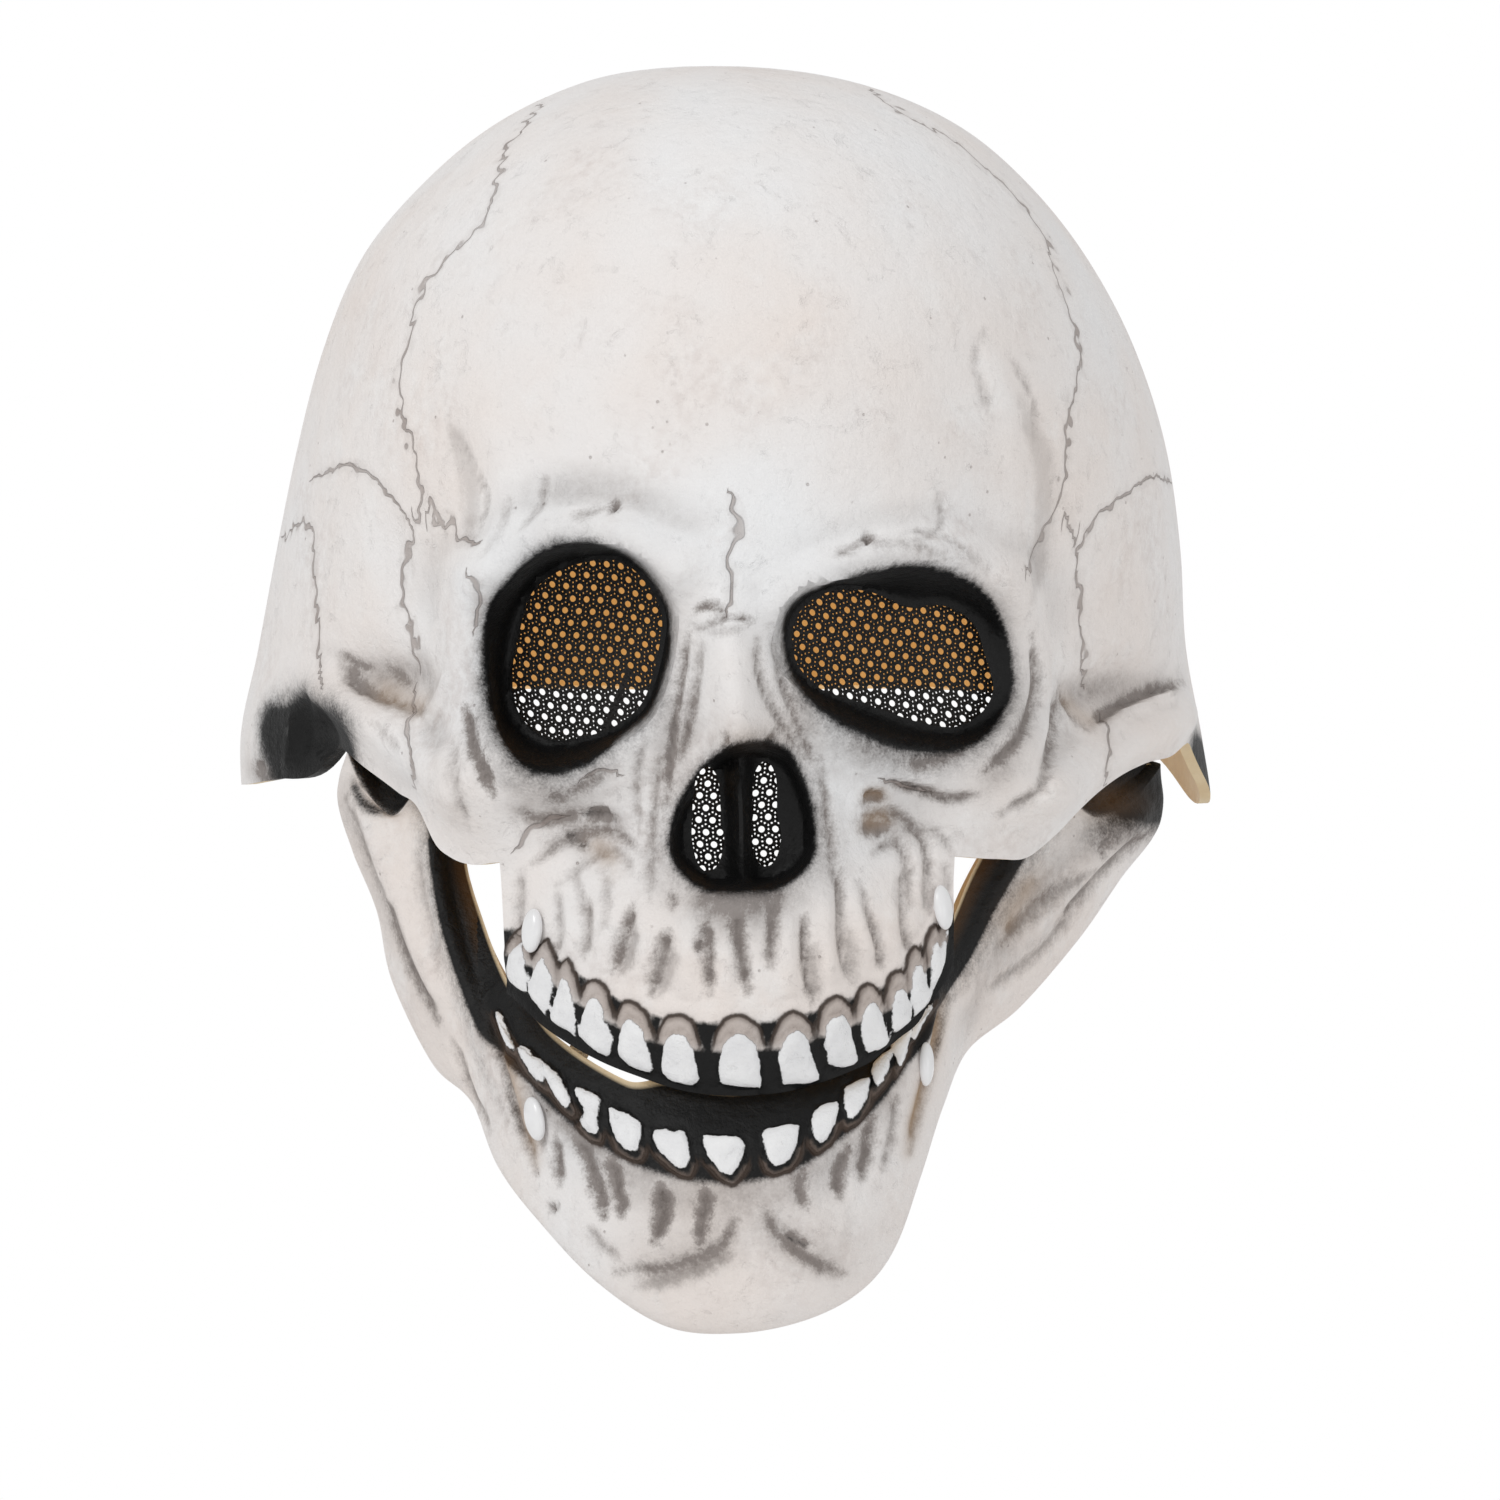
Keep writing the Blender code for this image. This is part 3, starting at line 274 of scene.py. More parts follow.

# Folds and grooves: half width, height (less than nought is a groove), dark wash and painted shade in the
# groove, and path
Fold = namedtuple("Fold", "wide push wash path")
SKULL_FOLDS = measured(Fold, [
    (1.7, -1.8, 0.85, (466, 708), (473, 745), (494, 793)),
    (1.6, 0.9, 0, (482, 712), (490, 750), (514, 790)),
    (1.1, -0.6, 0.25, (454, 735), (456, 776), (470, 830)),
    (1.8, 0.8, 0, (445, 735), (447, 780), (456, 830)),
    (1.3, -0.6, 0.35, (522, 812), (548, 822), (584, 812)),
    (1.5, -0.5, 0.3, (548, 800), (575, 790), (604, 775)),
    (1.3, -0.8, 0.35, (535, 862), (568, 838), (612, 830), (640, 852)),
    (1.2, 0.6, 0, (548, 868), (580, 846), (612, 840), (636, 862)),
    (1.2, -0.6, 0.25, (560, 884), (590, 858), (620, 851), (634, 874)),
    (1.5, -1.6, 0.6, (590, 815), (600, 813), (612, 815)),
    (1.4, -0.9, 0.5, (568, 833), (575, 838), (590, 847)),
    (1.4, 0.7, 0, (580, 806), (600, 803), (626, 812), (634, 830)),
    (1, -0.9, 0.45, (688, 638), (680, 697), (665, 812)),
    (1.2, 0.7, 0, (695, 640), (686, 700), (673, 800)),
    (0.9, -0.7, 0.35, (701, 646), (693, 705), (681, 760)),
    (1.1, -0.5, 0.25, (660, 760), (652, 830), (650, 900)),
    (1, -0.5, 0.25, (645, 740), (636, 790), (640, 830)),
    (1, -0.9, 0.4, (757, 640), (765, 690), (802, 757)),
    (1.1, 0.6, 0, (764, 636), (776, 697), (809, 765)),
    (0.9, -0.7, 0.35, (771, 628), (787, 697), (816, 772)),
    (1, -0.6, 0.3, (820, 760), (830, 830), (836, 890)),
    (1, 0.5, 0, (828, 780), (840, 850), (846, 900)),
    (0.9, -0.9, 0.6, (694, 612), (715, 606), (728, 618)),
    (0.9, -0.9, 0.6, (703, 630), (728, 617), (754, 622)),
    (0.8, -0.6, 0.4, (690, 626), (712, 634), (745, 630)),
    (1.3, -1.3, 0.6, (612, 509), (616, 510), (618, 512)),
    (1.2, -0.4, 0.35, (576, 519), (588, 516), (602, 512)),
    (1.5, -1.4, 0.6, (864, 543), (868, 541), (872, 542)),
    (1.1, -0.5, 0.35, (836, 558), (846, 552), (860, 546)),
    (1, -0.5, 0.3, (870, 548), (913, 547), (950, 562)),
    (0.9, -0.5, 0.25, (905, 532), (945, 540), (985, 570)),
    (0.8, -0.5, 0.2, (938, 497), (941, 525), (920, 542)),
    (0.9, -0.4, 0.2, (514, 500), (504, 531), (481, 556)),
    (0.9, -0.4, 0.2, (546, 478), (542, 505), (524, 530)),
    (0.8, -0.5, 0.35, (452, 430), (474, 470), (487, 497), (481, 526)),
    (0.9, -0.5, 0.3, (1008, 356), (1034, 400), (1040, 452)),
    (0.8, -0.4, 0.25, (985, 330), (975, 360), (990, 420)),
    (1.8, -1.3, 0.3, (340, 664), (370, 692), (402, 705), (428, 713)),
    (0.8, -0.5, 0.45, (340, 652), (354, 662), (370, 668)),
    (0.8, -0.5, 0.45, (338, 674), (352, 680), (368, 690)),
    (0.7, -0.4, 0.3, (392, 668), (400, 676), (414, 686)),
    (1.5, 1.1, 0, (452, 668), (438, 700), (424, 722)),
    (0.9, -0.5, 0.35, (373, 722), (388, 736), (396, 750)),
    (1, -0.9, 0.35, (1060, 690), (1072, 718), (1094, 728)),
    (1.4, 1, 0, (1052, 676), (1062, 712), (1088, 732)),
    (1.5, -1.2, 0.4, (1094, 722), (1114, 706), (1150, 691), (1190, 681)),
    (1.3, 0.8, 0, (1110, 716), (1150, 700), (1186, 692)),
    (1.6, -1.4, 0.5, (1034, 638), (1037, 690), (1020, 735), (984, 769)),
    (1.8, 1, 0, (1044, 650), (1046, 712), (1028, 762), (992, 790)),
    (1.5, -1.1, 0.4, (1055, 690), (1053, 742), (1038, 790), (1000, 814)),
    (1.3, -0.8, 0.45, (893, 782), (920, 789), (946, 798), (976, 795)),
    (1.2, 0.7, 0, (896, 772), (924, 778), (950, 786), (980, 780)),
    (1.3, -0.6, 0.3, (903, 766), (932, 762), (962, 748)),
    (1.5, -1.5, 0.6, (862, 799), (872, 795), (884, 799)),
    (1.4, 0.7, 0, (852, 806), (872, 786), (896, 794)),
    (1.8, -1, 0.45, (862, 828), (872, 827), (884, 832)),
    (1.2, -0.8, 0.4, (856, 820), (893, 812), (922, 838), (930, 885)),
    (1.2, 0.7, 0, (862, 836), (892, 824), (912, 846), (918, 890)),
    (1.1, -0.7, 0.35, (872, 852), (896, 842), (908, 870), (910, 905)),
    (1.1, -0.6, 0.25, (893, 832), (934, 830), (952, 852)),
    (1, -0.5, 0.2, (944, 862), (948, 880), (946, 905)),
    (1.5, -1.2, 0.6, (634, 905), (622, 940), (613, 968)),
    (2.4, -0.7, 0.25, (636, 925), (630, 950), (622, 968)),
    (2, -1.1, 0.5, (667, 930), (660, 958), (653, 990)),
    (2.2, -0.6, 0.2, (672, 945), (668, 970), (660, 992)),
    (1, -1.2, 0.7, (698, 938), (699, 944), (700, 948)),
    (1.6, -1.2, 0.5, (706, 924), (708, 948), (710, 990)),
    (1.8, -1.1, 0.5, (736, 916), (738, 930), (742, 955), (748, 990)),
    (1.6, -0.9, 0.45, (776, 900), (773, 930), (770, 965)),
    (1.1, -0.9, 0.5, (805, 915), (804, 950), (812, 1000)),
    (1.6, -0.5, 0.3, (812, 945), (814, 970), (818, 995)),
    (1.1, -1, 0.45, (840, 860), (840, 905), (842, 950), (852, 980)),
    (1.6, -0.6, 0.25, (848, 930), (852, 955), (856, 975)),
    (1, -0.9, 0.4, (858, 880), (868, 915), (878, 945), (880, 965)),
    (1, -0.8, 0.4, (903, 862), (902, 900), (904, 930), (910, 952)),
    (1, -0.6, 0.3, (928, 862), (926, 890), (928, 910)),
    (1.3, -0.8, 0.35, (586, 895), (588, 930), (584, 955)),
    (1.2, -0.6, 0.25, (556, 885), (560, 930), (556, 950)),
    (1.2, -0.5, 0.25, (574, 868), (582, 895), (586, 920)),
    (1.1, -0.5, 0.25, (606, 870), (608, 905), (604, 930)),
    (1, -0.5, 0.3, (672, 892), (674, 900), (673, 906)),
    (1.4, -0.5, 0.3, (521, 872), (520, 905), (519, 930)),
    (1.5, -1, 0.5, (520, 934), (521, 940), (524, 946)),
    (0.9, -0.9, 0.6, (722, 735), (726, 742), (729, 748)),
    (0.9, -0.9, 0.6, (774, 732), (772, 739), (769, 746)),
    (1.2, -1, 0.7, (252, 762), (256, 768), (254, 776)),
    (1.3, -1, 0.6, (300, 690), (304, 720), (300, 760)),
    (1.2, 0.9, 0, (286, 705), (290, 740), (284, 770)),
    (1, 0.8, 0.1, (310, 745), (325, 760), (340, 764)),
    (2.2, 1, 0, (477, 600), (480, 660), (488, 715), (512, 768), (560, 797), (612, 775)),
    (2.2, 1, 0, (1012, 620), (1020, 680), (1003, 738), (952, 772), (885, 768), (825, 738)),
    (3.2, 1, 0, (505, 555), (560, 530), (620, 530), (672, 562)),
    (3.2, 1.1, 0, (798, 588), (860, 560), (930, 550), (990, 580)),
    (1.2, 0.9, 0, (352, 692), (390, 704), (428, 718)),
    (1.3, 0.9, 0, (1095, 730), (1140, 708), (1190, 686)),
    (1.8, 0.7, 0, (642, 895), (642, 940), (640, 990)),
    (1.8, 0.6, 0, (690, 910), (688, 950), (686, 1000)),
    (1.8, 0.6, 0, (724, 915), (728, 950), (728, 990)),
    (1.8, 0.6, 0, (790, 910), (788, 950), (790, 1000)),
    (1.6, 0.8, 0, (824, 880), (826, 930), (832, 985)),
    (1.6, 0.8, 0, (858, 880), (862, 920), (868, 960)),
    (1.6, 0.7, 0, (888, 900), (892, 930), (896, 960)),
    (1.6, 0.6, 0, (604, 880), (604, 930), (600, 975)),
    (1.5, 0.6, 0, (570, 890), (572, 930), (568, 955)),
    (3, 0.8, 0, (470, 400), (500, 450), (510, 500), (490, 560)),
    (3, -0.6, 0.12, (448, 420), (468, 480), (470, 540)),
    (3, 0.8, 0, (985, 340), (1010, 420), (1015, 500), (1000, 560)),
    (3.5, -0.6, 0.12, (1020, 400), (1045, 460), (1045, 540), (1035, 600)),
])
JAW_FOLDS = measured(Fold, [
    (2.8, 1.4, 0, (347, 771), (372, 833), (411, 940), (452, 1021)),
    (2.2, -1.1, 0.4, (386, 890), (408, 960), (437, 1020)),
    (1.8, -0.7, 0.25, (350, 800), (370, 860), (388, 905)),
    (2, 0.9, 0, (431, 815), (434, 880), (452, 951), (474, 1018), (490, 1070)),
    (1.6, -0.6, 0.2, (415, 850), (424, 905), (440, 965)),
    (1.3, -0.8, 0.35, (452, 1040), (470, 1090), (490, 1130)),
    (1.4, -1.1, 0.4, (490, 1010), (500, 1055), (516, 1111), (536, 1170)),
    (1.2, 0.8, 0, (502, 1041), (518, 1083), (530, 1139)),
    (1.1, -0.6, 0.3, (524, 1075), (534, 1110), (545, 1150)),
    (2.6, 1.2, 0, (1160, 797), (1112, 842), (1070, 890), (1012, 945)),
    (1.8, -1, 0.4, (1152, 832), (1105, 872), (1060, 922)),
    (2, -0.7, 0.3, (1090, 870), (1040, 905), (1003, 940)),
    (1.6, -0.8, 0.3, (1075, 915), (1040, 955), (990, 990)),
    (1.8, 0.8, 0, (1024, 880), (996, 925), (972, 975), (958, 1012)),
    (1, -0.7, 0.4, (1108, 838), (1102, 846), (1098, 854)),
    (1.4, -1.1, 0.4, (948, 995), (936, 1040), (925, 1090), (910, 1150)),
    (1.2, 0.8, 0, (938, 985), (926, 1035), (917, 1085)),
    (1.2, -0.7, 0.35, (896, 1095), (893, 1130), (884, 1166)),
    (1.8, -1.4, 0.7, (579, 1138), (591, 1169), (604, 1212)),
    (1.92, -1.3, 0.65, (611, 1158), (616, 1185), (622, 1211)),
    (2.28, -1.3, 0.65, (661, 1184), (664, 1208), (656, 1236)),
    (1.8, -1.2, 0.65, (707, 1187), (705, 1208), (699, 1240)),
    (1.44, -1, 0.5, (556, 1137), (556, 1157), (560, 1180)),
    (1.32, -0.9, 0.5, (802, 1170), (800, 1185), (804, 1204)),
    (1.92, -1.1, 0.5, (846, 1148), (840, 1169), (839, 1192)),
    (1.92, -1.1, 0.5, (872, 1118), (869, 1144), (862, 1174)),
    (1.3, -1.3, 0.6, (553, 1202), (554, 1204), (555, 1206)),
    (1.6, -0.7, 0.35, (617, 1268), (671, 1262), (716, 1246), (737, 1216)),
    (2.4, -0.5, 0.22, (640, 1282), (690, 1268), (728, 1250)),
    (1.6, -0.7, 0.35, (764, 1208), (782, 1233), (815, 1259), (842, 1269)),
    (1, -0.8, 0.5, (785, 1229), (797, 1236), (809, 1241)),
    (3, 0.9, 0, (650, 1222), (690, 1226), (728, 1205)),
    (3.2, 0.8, 0, (790, 1205), (820, 1225), (850, 1232)),
    (1.3, -0.6, 0.3, (590, 1225), (600, 1240), (618, 1252)),
])

# Strokes of paint and of painted shade: finish, half width, strength, and path
Stain = namedtuple("Stain", "finish wide amount path")
SKULL_STAINS = measured(Stain, [
    ("tan", 2.6, 0.4, (372, 686), (400, 697), (430, 708)),
    ("wash", 2.2, 0.35, (345, 665), (365, 682), (398, 700)),
    ("black", 3, 0.5, (268, 778), (300, 780), (345, 776)),
    ("wash", 3.4, 0.75, (246, 768), (290, 784), (330, 782)),
    ("black", 2.6, 0.4, (268, 700), (262, 735), (270, 770)),
    ("tan", 2, 0.3, (1060, 692), (1085, 717), (1100, 716)),
    ("wash", 1.8, 0.5, (1097, 718), (1130, 700), (1187, 676)),
    ("tan", 1.4, 0.5, (862, 797), (874, 793), (886, 797)),
    ("tan", 2, 0.45, (864, 824), (878, 818), (892, 816)),
    ("wash", 1.2, 0.8, (866, 832), (880, 826), (892, 820)),
    ("wash", 2.4, 0.45, (505, 804), (540, 813), (566, 806)),
    ("wash", 1.6, 0.35, (603, 817), (616, 816), (628, 818)),
    ("tan", 2.6, 0.35, (590, 842), (606, 852), (612, 868)),
    ("black", 0.7, 0.55, (566, 835), (571, 836), (576, 838)),
    ("black", 0.8, 0.45, (578, 843), (584, 844), (590, 846)),
    ("black", 0.7, 0.5, (583, 816), (589, 812), (596, 810)),
    ("black", 0.5, 0.45, (885, 778), (905, 783), (925, 793)),
    ("black", 0.5, 0.3, (905, 786), (935, 797), (950, 799)),
    ("black", 0.45, 0.4, (1032, 640), (1031, 660), (1031, 684)),
    ("wash", 2.4, 0.5, (1033, 690), (1022, 730), (1005, 765), (982, 795)),
    ("wash", 3.2, 0.55, (830, 738), (880, 752), (930, 756), (975, 745)),
    ("wash", 2.6, 0.4, (505, 768), (540, 787), (580, 790), (608, 772)),
    ("wash", 3, 0.3, (672, 690), (668, 740), (664, 790)),
    ("wash", 2.8, 0.35, (795, 660), (800, 700), (815, 740)),
    ("wash", 3.5, 0.6, (685, 893), (735, 900), (795, 888)),
    ("wash", 4.5, 0.3, (690, 910), (735, 920), (780, 908)),
    ("wash", 2.5, 0.3, (812, 790), (824, 840), (826, 890)),
    ("wash", 2.2, 0.25, (655, 800), (652, 850), (660, 900)),
    ("black", 3.4, 0.8, (300, 700), (306, 740), (302, 778)),
    ("black", 3, 0.7, (262, 715), (278, 738), (296, 778)),
    ("black", 3.4, 1, (322, 722), (332, 750), (345, 766)),
    ("black", 2.6, 0.8, (312, 762), (330, 772), (350, 778)),
    ("wash", 2.5, 0.5, (250, 772), (270, 780), (300, 782)),
    ("black", 2.4, 1.2, (1200, 738), (1207, 765), (1212, 792)),
    # Painted shadow under the lower edge of the right arch, in black paint
    ("black", 0.8, 0.8, (1140, 765), (1170, 760), (1196, 746)),
])
JAW_STAINS = measured(Stain, [
    ("black", 1, 0.7, (354, 778), (366, 806), (385, 816)),
    ("tan", 1.7, 0.75, (497, 1010), (508, 1055), (522, 1110), (536, 1160)),
    ("black", 0.7, 0.45, (490, 1025), (503, 1078), (520, 1132)),
    ("wash", 2, 0.45, (472, 965), (486, 1010), (492, 1050)),
    ("tan", 1.7, 0.75, (944, 1000), (936, 1040), (922, 1090), (908, 1150)),
    ("black", 0.8, 0.5, (953, 985), (944, 1030), (932, 1070)),
    ("tan", 3, 0.42, (1040, 872), (1015, 905), (1000, 935)),
    ("wash", 3, 0.35, (1050, 880), (1020, 915), (985, 960)),
    ("wash", 2.5, 0.25, (1100, 880), (1050, 930), (1000, 975)),
    # Painted soft shadow under the creases of the chin
    ("wash", 3.2, 0.4, (640, 1275), (690, 1262), (735, 1235)),
    ("wash", 3, 0.4, (770, 1225), (800, 1250), (845, 1268)),
    ("black", 0.5, 0.5, (786, 1230), (797, 1238), (812, 1243)),
    ("wash", 2, 0.5, (535, 1080), (560, 1118), (585, 1140)),
    ("wash", 2.4, 0.4, (850, 1120), (872, 1100), (890, 1080)),
    # Broad wash and painted shadow under the lower teeth
    ("wash", 5, 0.34, (560, 1110), (640, 1180), (730, 1200), (820, 1170), (880, 1110)),
    ("black", 3.4, 0.3, (1075, 850), (1130, 812), (1180, 800)),
    ("wash", 4.5, 0.45, (1020, 905), (1080, 850), (1150, 812)),
    ("wash", 3, 0.35, (960, 1040), (985, 980), (1015, 930)),
    ("wash", 2.6, 0.35, (345, 800), (372, 880), (405, 960), (440, 1030)),
    ("black", 2, 0.22, (447, 960), (470, 1040), (505, 1110), (540, 1160)),
])

# Outlines of the painted teeth
UPPER_TEETH = [from_picture(tooth) for tooth in (
    ((521, 941), (526, 950), (530, 972), (530, 990), (525, 990), (515, 982), (510.4, 972), (512.4, 956)),
    ((544.4, 955.6), (551, 966), (556.6, 985), (553, 1000), (548.4, 1013), (540, 1003), (531.6, 990),
        (536, 972)),
    ((566.6, 975), (573, 988), (578, 1008), (578.4, 1033.6), (568, 1028), (553.6, 1018), (557, 1000),
        (562, 984)),
    ((598, 996), (604, 1002), (609, 1020), (614.4, 1036), (612.4, 1052.4), (600, 1050), (582.4, 1034),
        (585, 1016), (591, 1000)),
    ((633.6, 1017), (642, 1024), (649, 1040), (653.6, 1060), (652.4, 1069), (636, 1065), (621, 1052),
        (622, 1034), (627, 1020)),
    ((681, 1030.4), (688, 1034), (694, 1048), (699, 1070), (697, 1081), (680, 1080), (664.4, 1070),
        (665, 1046), (670, 1034)),
    ((740, 1030.5), (752.5, 1037.5), (758.8, 1055), (760.5, 1086), (755, 1083.8), (722.5, 1081),
        (719.5, 1065), (721, 1047.5), (728.8, 1035)),
    ((795, 1027), (805, 1035), (811, 1055), (817, 1072.5), (812.5, 1078.8), (783.8, 1081),
        (778.8, 1067.5), (777, 1052.5), (783.8, 1035)),
    ((837, 1012), (846, 1020), (852.5, 1045), (855.5, 1058.8), (843.8, 1064.5), (827.5, 1061),
        (823, 1042.5), (825, 1022.5)),
    ((869, 1000), (877, 1008), (885.6, 1036), (884, 1043), (868, 1050), (862, 1046), (858.4, 1030),
        (861, 1009)),
    ((898, 987.6), (904, 992), (909, 1014), (907, 1020), (894, 1030.4), (889, 1026), (888.4, 1004),
        (892, 992)),
    ((916, 963), (921, 972), (927, 998), (913, 1014.4), (911, 1008), (908.4, 984), (911, 970)),
    ((933.6, 941.6), (938, 950), (939.6, 968), (929.6, 990), (928, 980), (927.6, 958), (930, 948)),
    ((945.6, 929), (944, 944), (941.6, 961.6), (939.5, 958), (941, 940)),
)]
LOWER_TEETH = [from_picture(tooth) for tooth in (
    ((497, 1009.5), (503.8, 1015), (511, 1032.5), (518.8, 1051), (511, 1046), (501, 1030)),
    ((521, 1044.5), (530, 1047.5), (535.5, 1055), (545, 1061), (545.8, 1081), (538.8, 1079.5),
        (528.8, 1066), (520, 1050)),
    ((546, 1062), (557.5, 1071), (566, 1082.5), (573, 1100), (570, 1107), (562.5, 1102.5), (552.5, 1085),
        (547, 1072.5)),
    ((576, 1085.5), (590, 1089), (602, 1096), (600, 1107.5), (599.5, 1129), (590, 1130), (581, 1117.5),
        (587.5, 1110), (580, 1097.5)),
    ((610, 1106), (625, 1110), (640, 1119), (642.5, 1130), (640, 1145), (633.8, 1149.5), (622.5, 1142.5),
        (613.8, 1127.5)),
    ((654.5, 1128), (667.5, 1126), (675, 1129), (685, 1128), (690.8, 1150), (687.5, 1162.5),
        (678.8, 1164), (665, 1152.5), (656, 1140)),
    ((702.5, 1133.8), (717.5, 1133), (735, 1133.8), (744.5, 1140), (742, 1157.5), (732.5, 1170),
        (723.8, 1170.5), (710, 1155)),
    ((762.5, 1128.8), (777.5, 1123.8), (797.5, 1122), (796, 1140), (791, 1155), (780, 1162), (771, 1161),
        (765, 1150), (763, 1137.5)),
    ((812.5, 1112.5), (820, 1103.8), (836, 1100), (835.5, 1115), (830, 1130), (821, 1141), (813.8, 1136),
        (810, 1122.5)),
    ((842.5, 1088.8), (852.5, 1081), (868, 1077), (867.5, 1092.5), (860, 1107.5), (851, 1117.5),
        (843.8, 1110)),
    ((872.5, 1062.5), (890, 1047.5), (888.8, 1066), (877.5, 1086), (871, 1077.5)),
    ((891, 1042.5), (908.8, 1025), (907.5, 1041), (898.8, 1065.5), (892.5, 1053.8)),
    ((910.5, 1025), (930, 1001), (920, 1022.5), (912.5, 1039.5)),
)]

# Holes of one repeat of the knit: place across and down as shares of the repeat, and size
KNIT = [(0, 0, 1), (0.5, 0.5, 1)]
KNIT += [(dx, dy, 0.36) for dx, dy in ((0.5, 0), (0, 0.5))]
KNIT += [(dx, dy, 0.36) for dx, dy in ((0.25, 0.25), (0.75, 0.25), (0.25, 0.75), (0.75, 0.75))]
KNIT += [(dx, dy, 0.34) for dx, dy in ((0.5, 0.17), (0.5, 0.83), (0, 0.33), (0, 0.67))]

# Middle of the sewn crease in the left net, from the middle of its hole
NET_CREASE = (6.6, 10.5)

# Stage, in metres: what the lights aim at, the middle of the picture, and each light's place, width and
# share of the key light's power
FACE_MIDDLE = (0.0, 0.0, -0.12)
CAMERA_X = 0.00304
CAMERA_Z = -0.1371
CAMERA_FRONT = -0.04
LIGHTS = [("key", (-1.3, -1.5, 1.2), 0.8, 1), ("side", (1.8, -1.2, 0.1), 0.9, 0.22),
          ("front", (0.2, -2.6, 0.1), 1.2, 0.3), ("top", (0.2, 0.4, 1.7), 1.0, 0.3)]

# Line through the gum ends of the teeth
UPPER_TIPS = from_picture(((500, 938), (521, 942), (544, 955), (567, 975), (598, 996), (634, 1017),
    (681, 1030), (740, 1031), (795, 1027), (837, 1012), (869, 1000), (898, 988), (916, 963), (934, 942),
    (950, 920)))
LOWER_TIPS = from_picture(((480, 1010), (519, 1051), (545, 1081), (570, 1107), (590, 1130), (634, 1150),
    (679, 1164), (728, 1171), (776, 1162), (818, 1141), (851, 1118), (878, 1086), (899, 1066),
    (913, 1040), (932, 1005)))

# The paints and painted shade, and bare latex that shows at a cut edge
PAINTS = [(name, 0.0) for name in ("black", "wash", "tan", "warm", "soot", "raw", "mark_amount", "gum_shown")]
PAINTS += [(name, -8.0) for name in ("mark", "gum", "band")]

# Soft patches of paint and of painted shade: finish, place, half sizes, strength
Patch = namedtuple("Patch", "finish x drop wide tall amount")
SKULL_PATCHES = [
    Patch("black", -89.5, 137, 6, 9, 1),
    # Black on the bare latex under the left arch: black paint of the recess and painted shade in the hollow
    # behind it
    Patch("soot", -83, 143, 9, 6, 1.3),
    Patch("tan", 2, 137, 6, 2.5, 0.16),
    Patch("black", 96.8, 145, 3.2, 9, 1.3),
    Patch("black", -82, 138, 5, 8, 1.1),
    Patch("wash", 0, 170, 9, 4, 0.3),
    Patch("warm", -64, 60, 30, 50, 0.25),
    Patch("warm", 66, 95, 22, 40, 0.4),
    Patch("warm", -84, 120, 12, 26, 0.35),
    Patch("warm", 0, 190, 45, 16, 0.55),
    Patch("warm", 30, 176, 18, 14, 0.35),
    Patch("warm", 5, 60, 30, 28, 0.25),
    Patch("warm", -60, 152, 16, 10, 0.3),
    Patch("warm", 64, 148, 16, 12, 0.3),
    Patch("warm", 0, 95, 46, 14, -0.45),
    Patch("warm", -50, 122, 10, 24, -0.45),
    Patch("warm", -18, 140, 16, 20, -0.4),
    Patch("warm", 22, 142, 12, 20, -0.4),
    Patch("warm", 56, 118, 9, 20, -0.35),
]
JAW_PATCHES = [
    Patch("black", 88, 147.5, 8.5, 7, 1.3),
    Patch("black", 80, 149, 8, 4.5, 0.7),
    Patch("tan", 76, 149.5, 6, 3.5, 0.8),
    Patch("wash", 80, 155, 9, 4, 0.5),
    Patch("wash", -79, 150, 4, 7, 0.2),
    Patch("wash", -13, 240, 13, 5, 0.22),
    Patch("wash", 15, 238, 11, 6, 0.18),
    Patch("warm", -66, 185, 20, 30, 0.45),
    Patch("warm", 62, 185, 24, 24, 0.5),
    Patch("warm", 0, 245, 32, 16, 0.35),
]

def hermite(knots, values, where):
    """Read a smooth curve through a table's rows at any place between them."""
    knots = np.asarray(knots, float)
    values = np.asarray(values, float)
    where = np.asarray(where, float)
    slopes = np.gradient(values, knots)
    k = np.clip(np.searchsorted(knots, where, side="right") - 1, 0, len(knots) - 2)
    span = knots[k + 1] - knots[k]
    t = np.clip((where - knots[k]) / span, 0.0, 1.0)
    a = (1 + 2 * t) * (1 - t) ** 2 * values[k] + t * (1 - t) ** 2 * span * slopes[k]
    return a + t * t * (3 - 2 * t) * values[k + 1] + t * t * (t - 1) * span * slopes[k + 1]


def ring(radii, angle):
    """Read a closed outline, given as equally spaced radii, at any angle."""
    radii = np.asarray(radii, float)
    n = len(radii)
    t = np.mod(angle, 2 * math.pi) * n / (2 * math.pi)
    k = np.floor(t).astype(int) % n
    t = t - np.floor(t)
    p0, p1, p2, p3 = radii[k - 1], radii[k], radii[(k + 1) % n], radii[(k + 2) % n]
    return p1 + 0.5 * t * (p2 - p0 + t * (2 * p0 - 5 * p1 + 4 * p2 - p3 + t * (3 * (p1 - p2) + p3 - p0)))


def step(low, high, value):
    """Rise smoothly from 0 at low to 1 at high."""
    t = np.clip((value - low) / (high - low), 0.0, 1.0)
    return t * t * (3 - 2 * t)


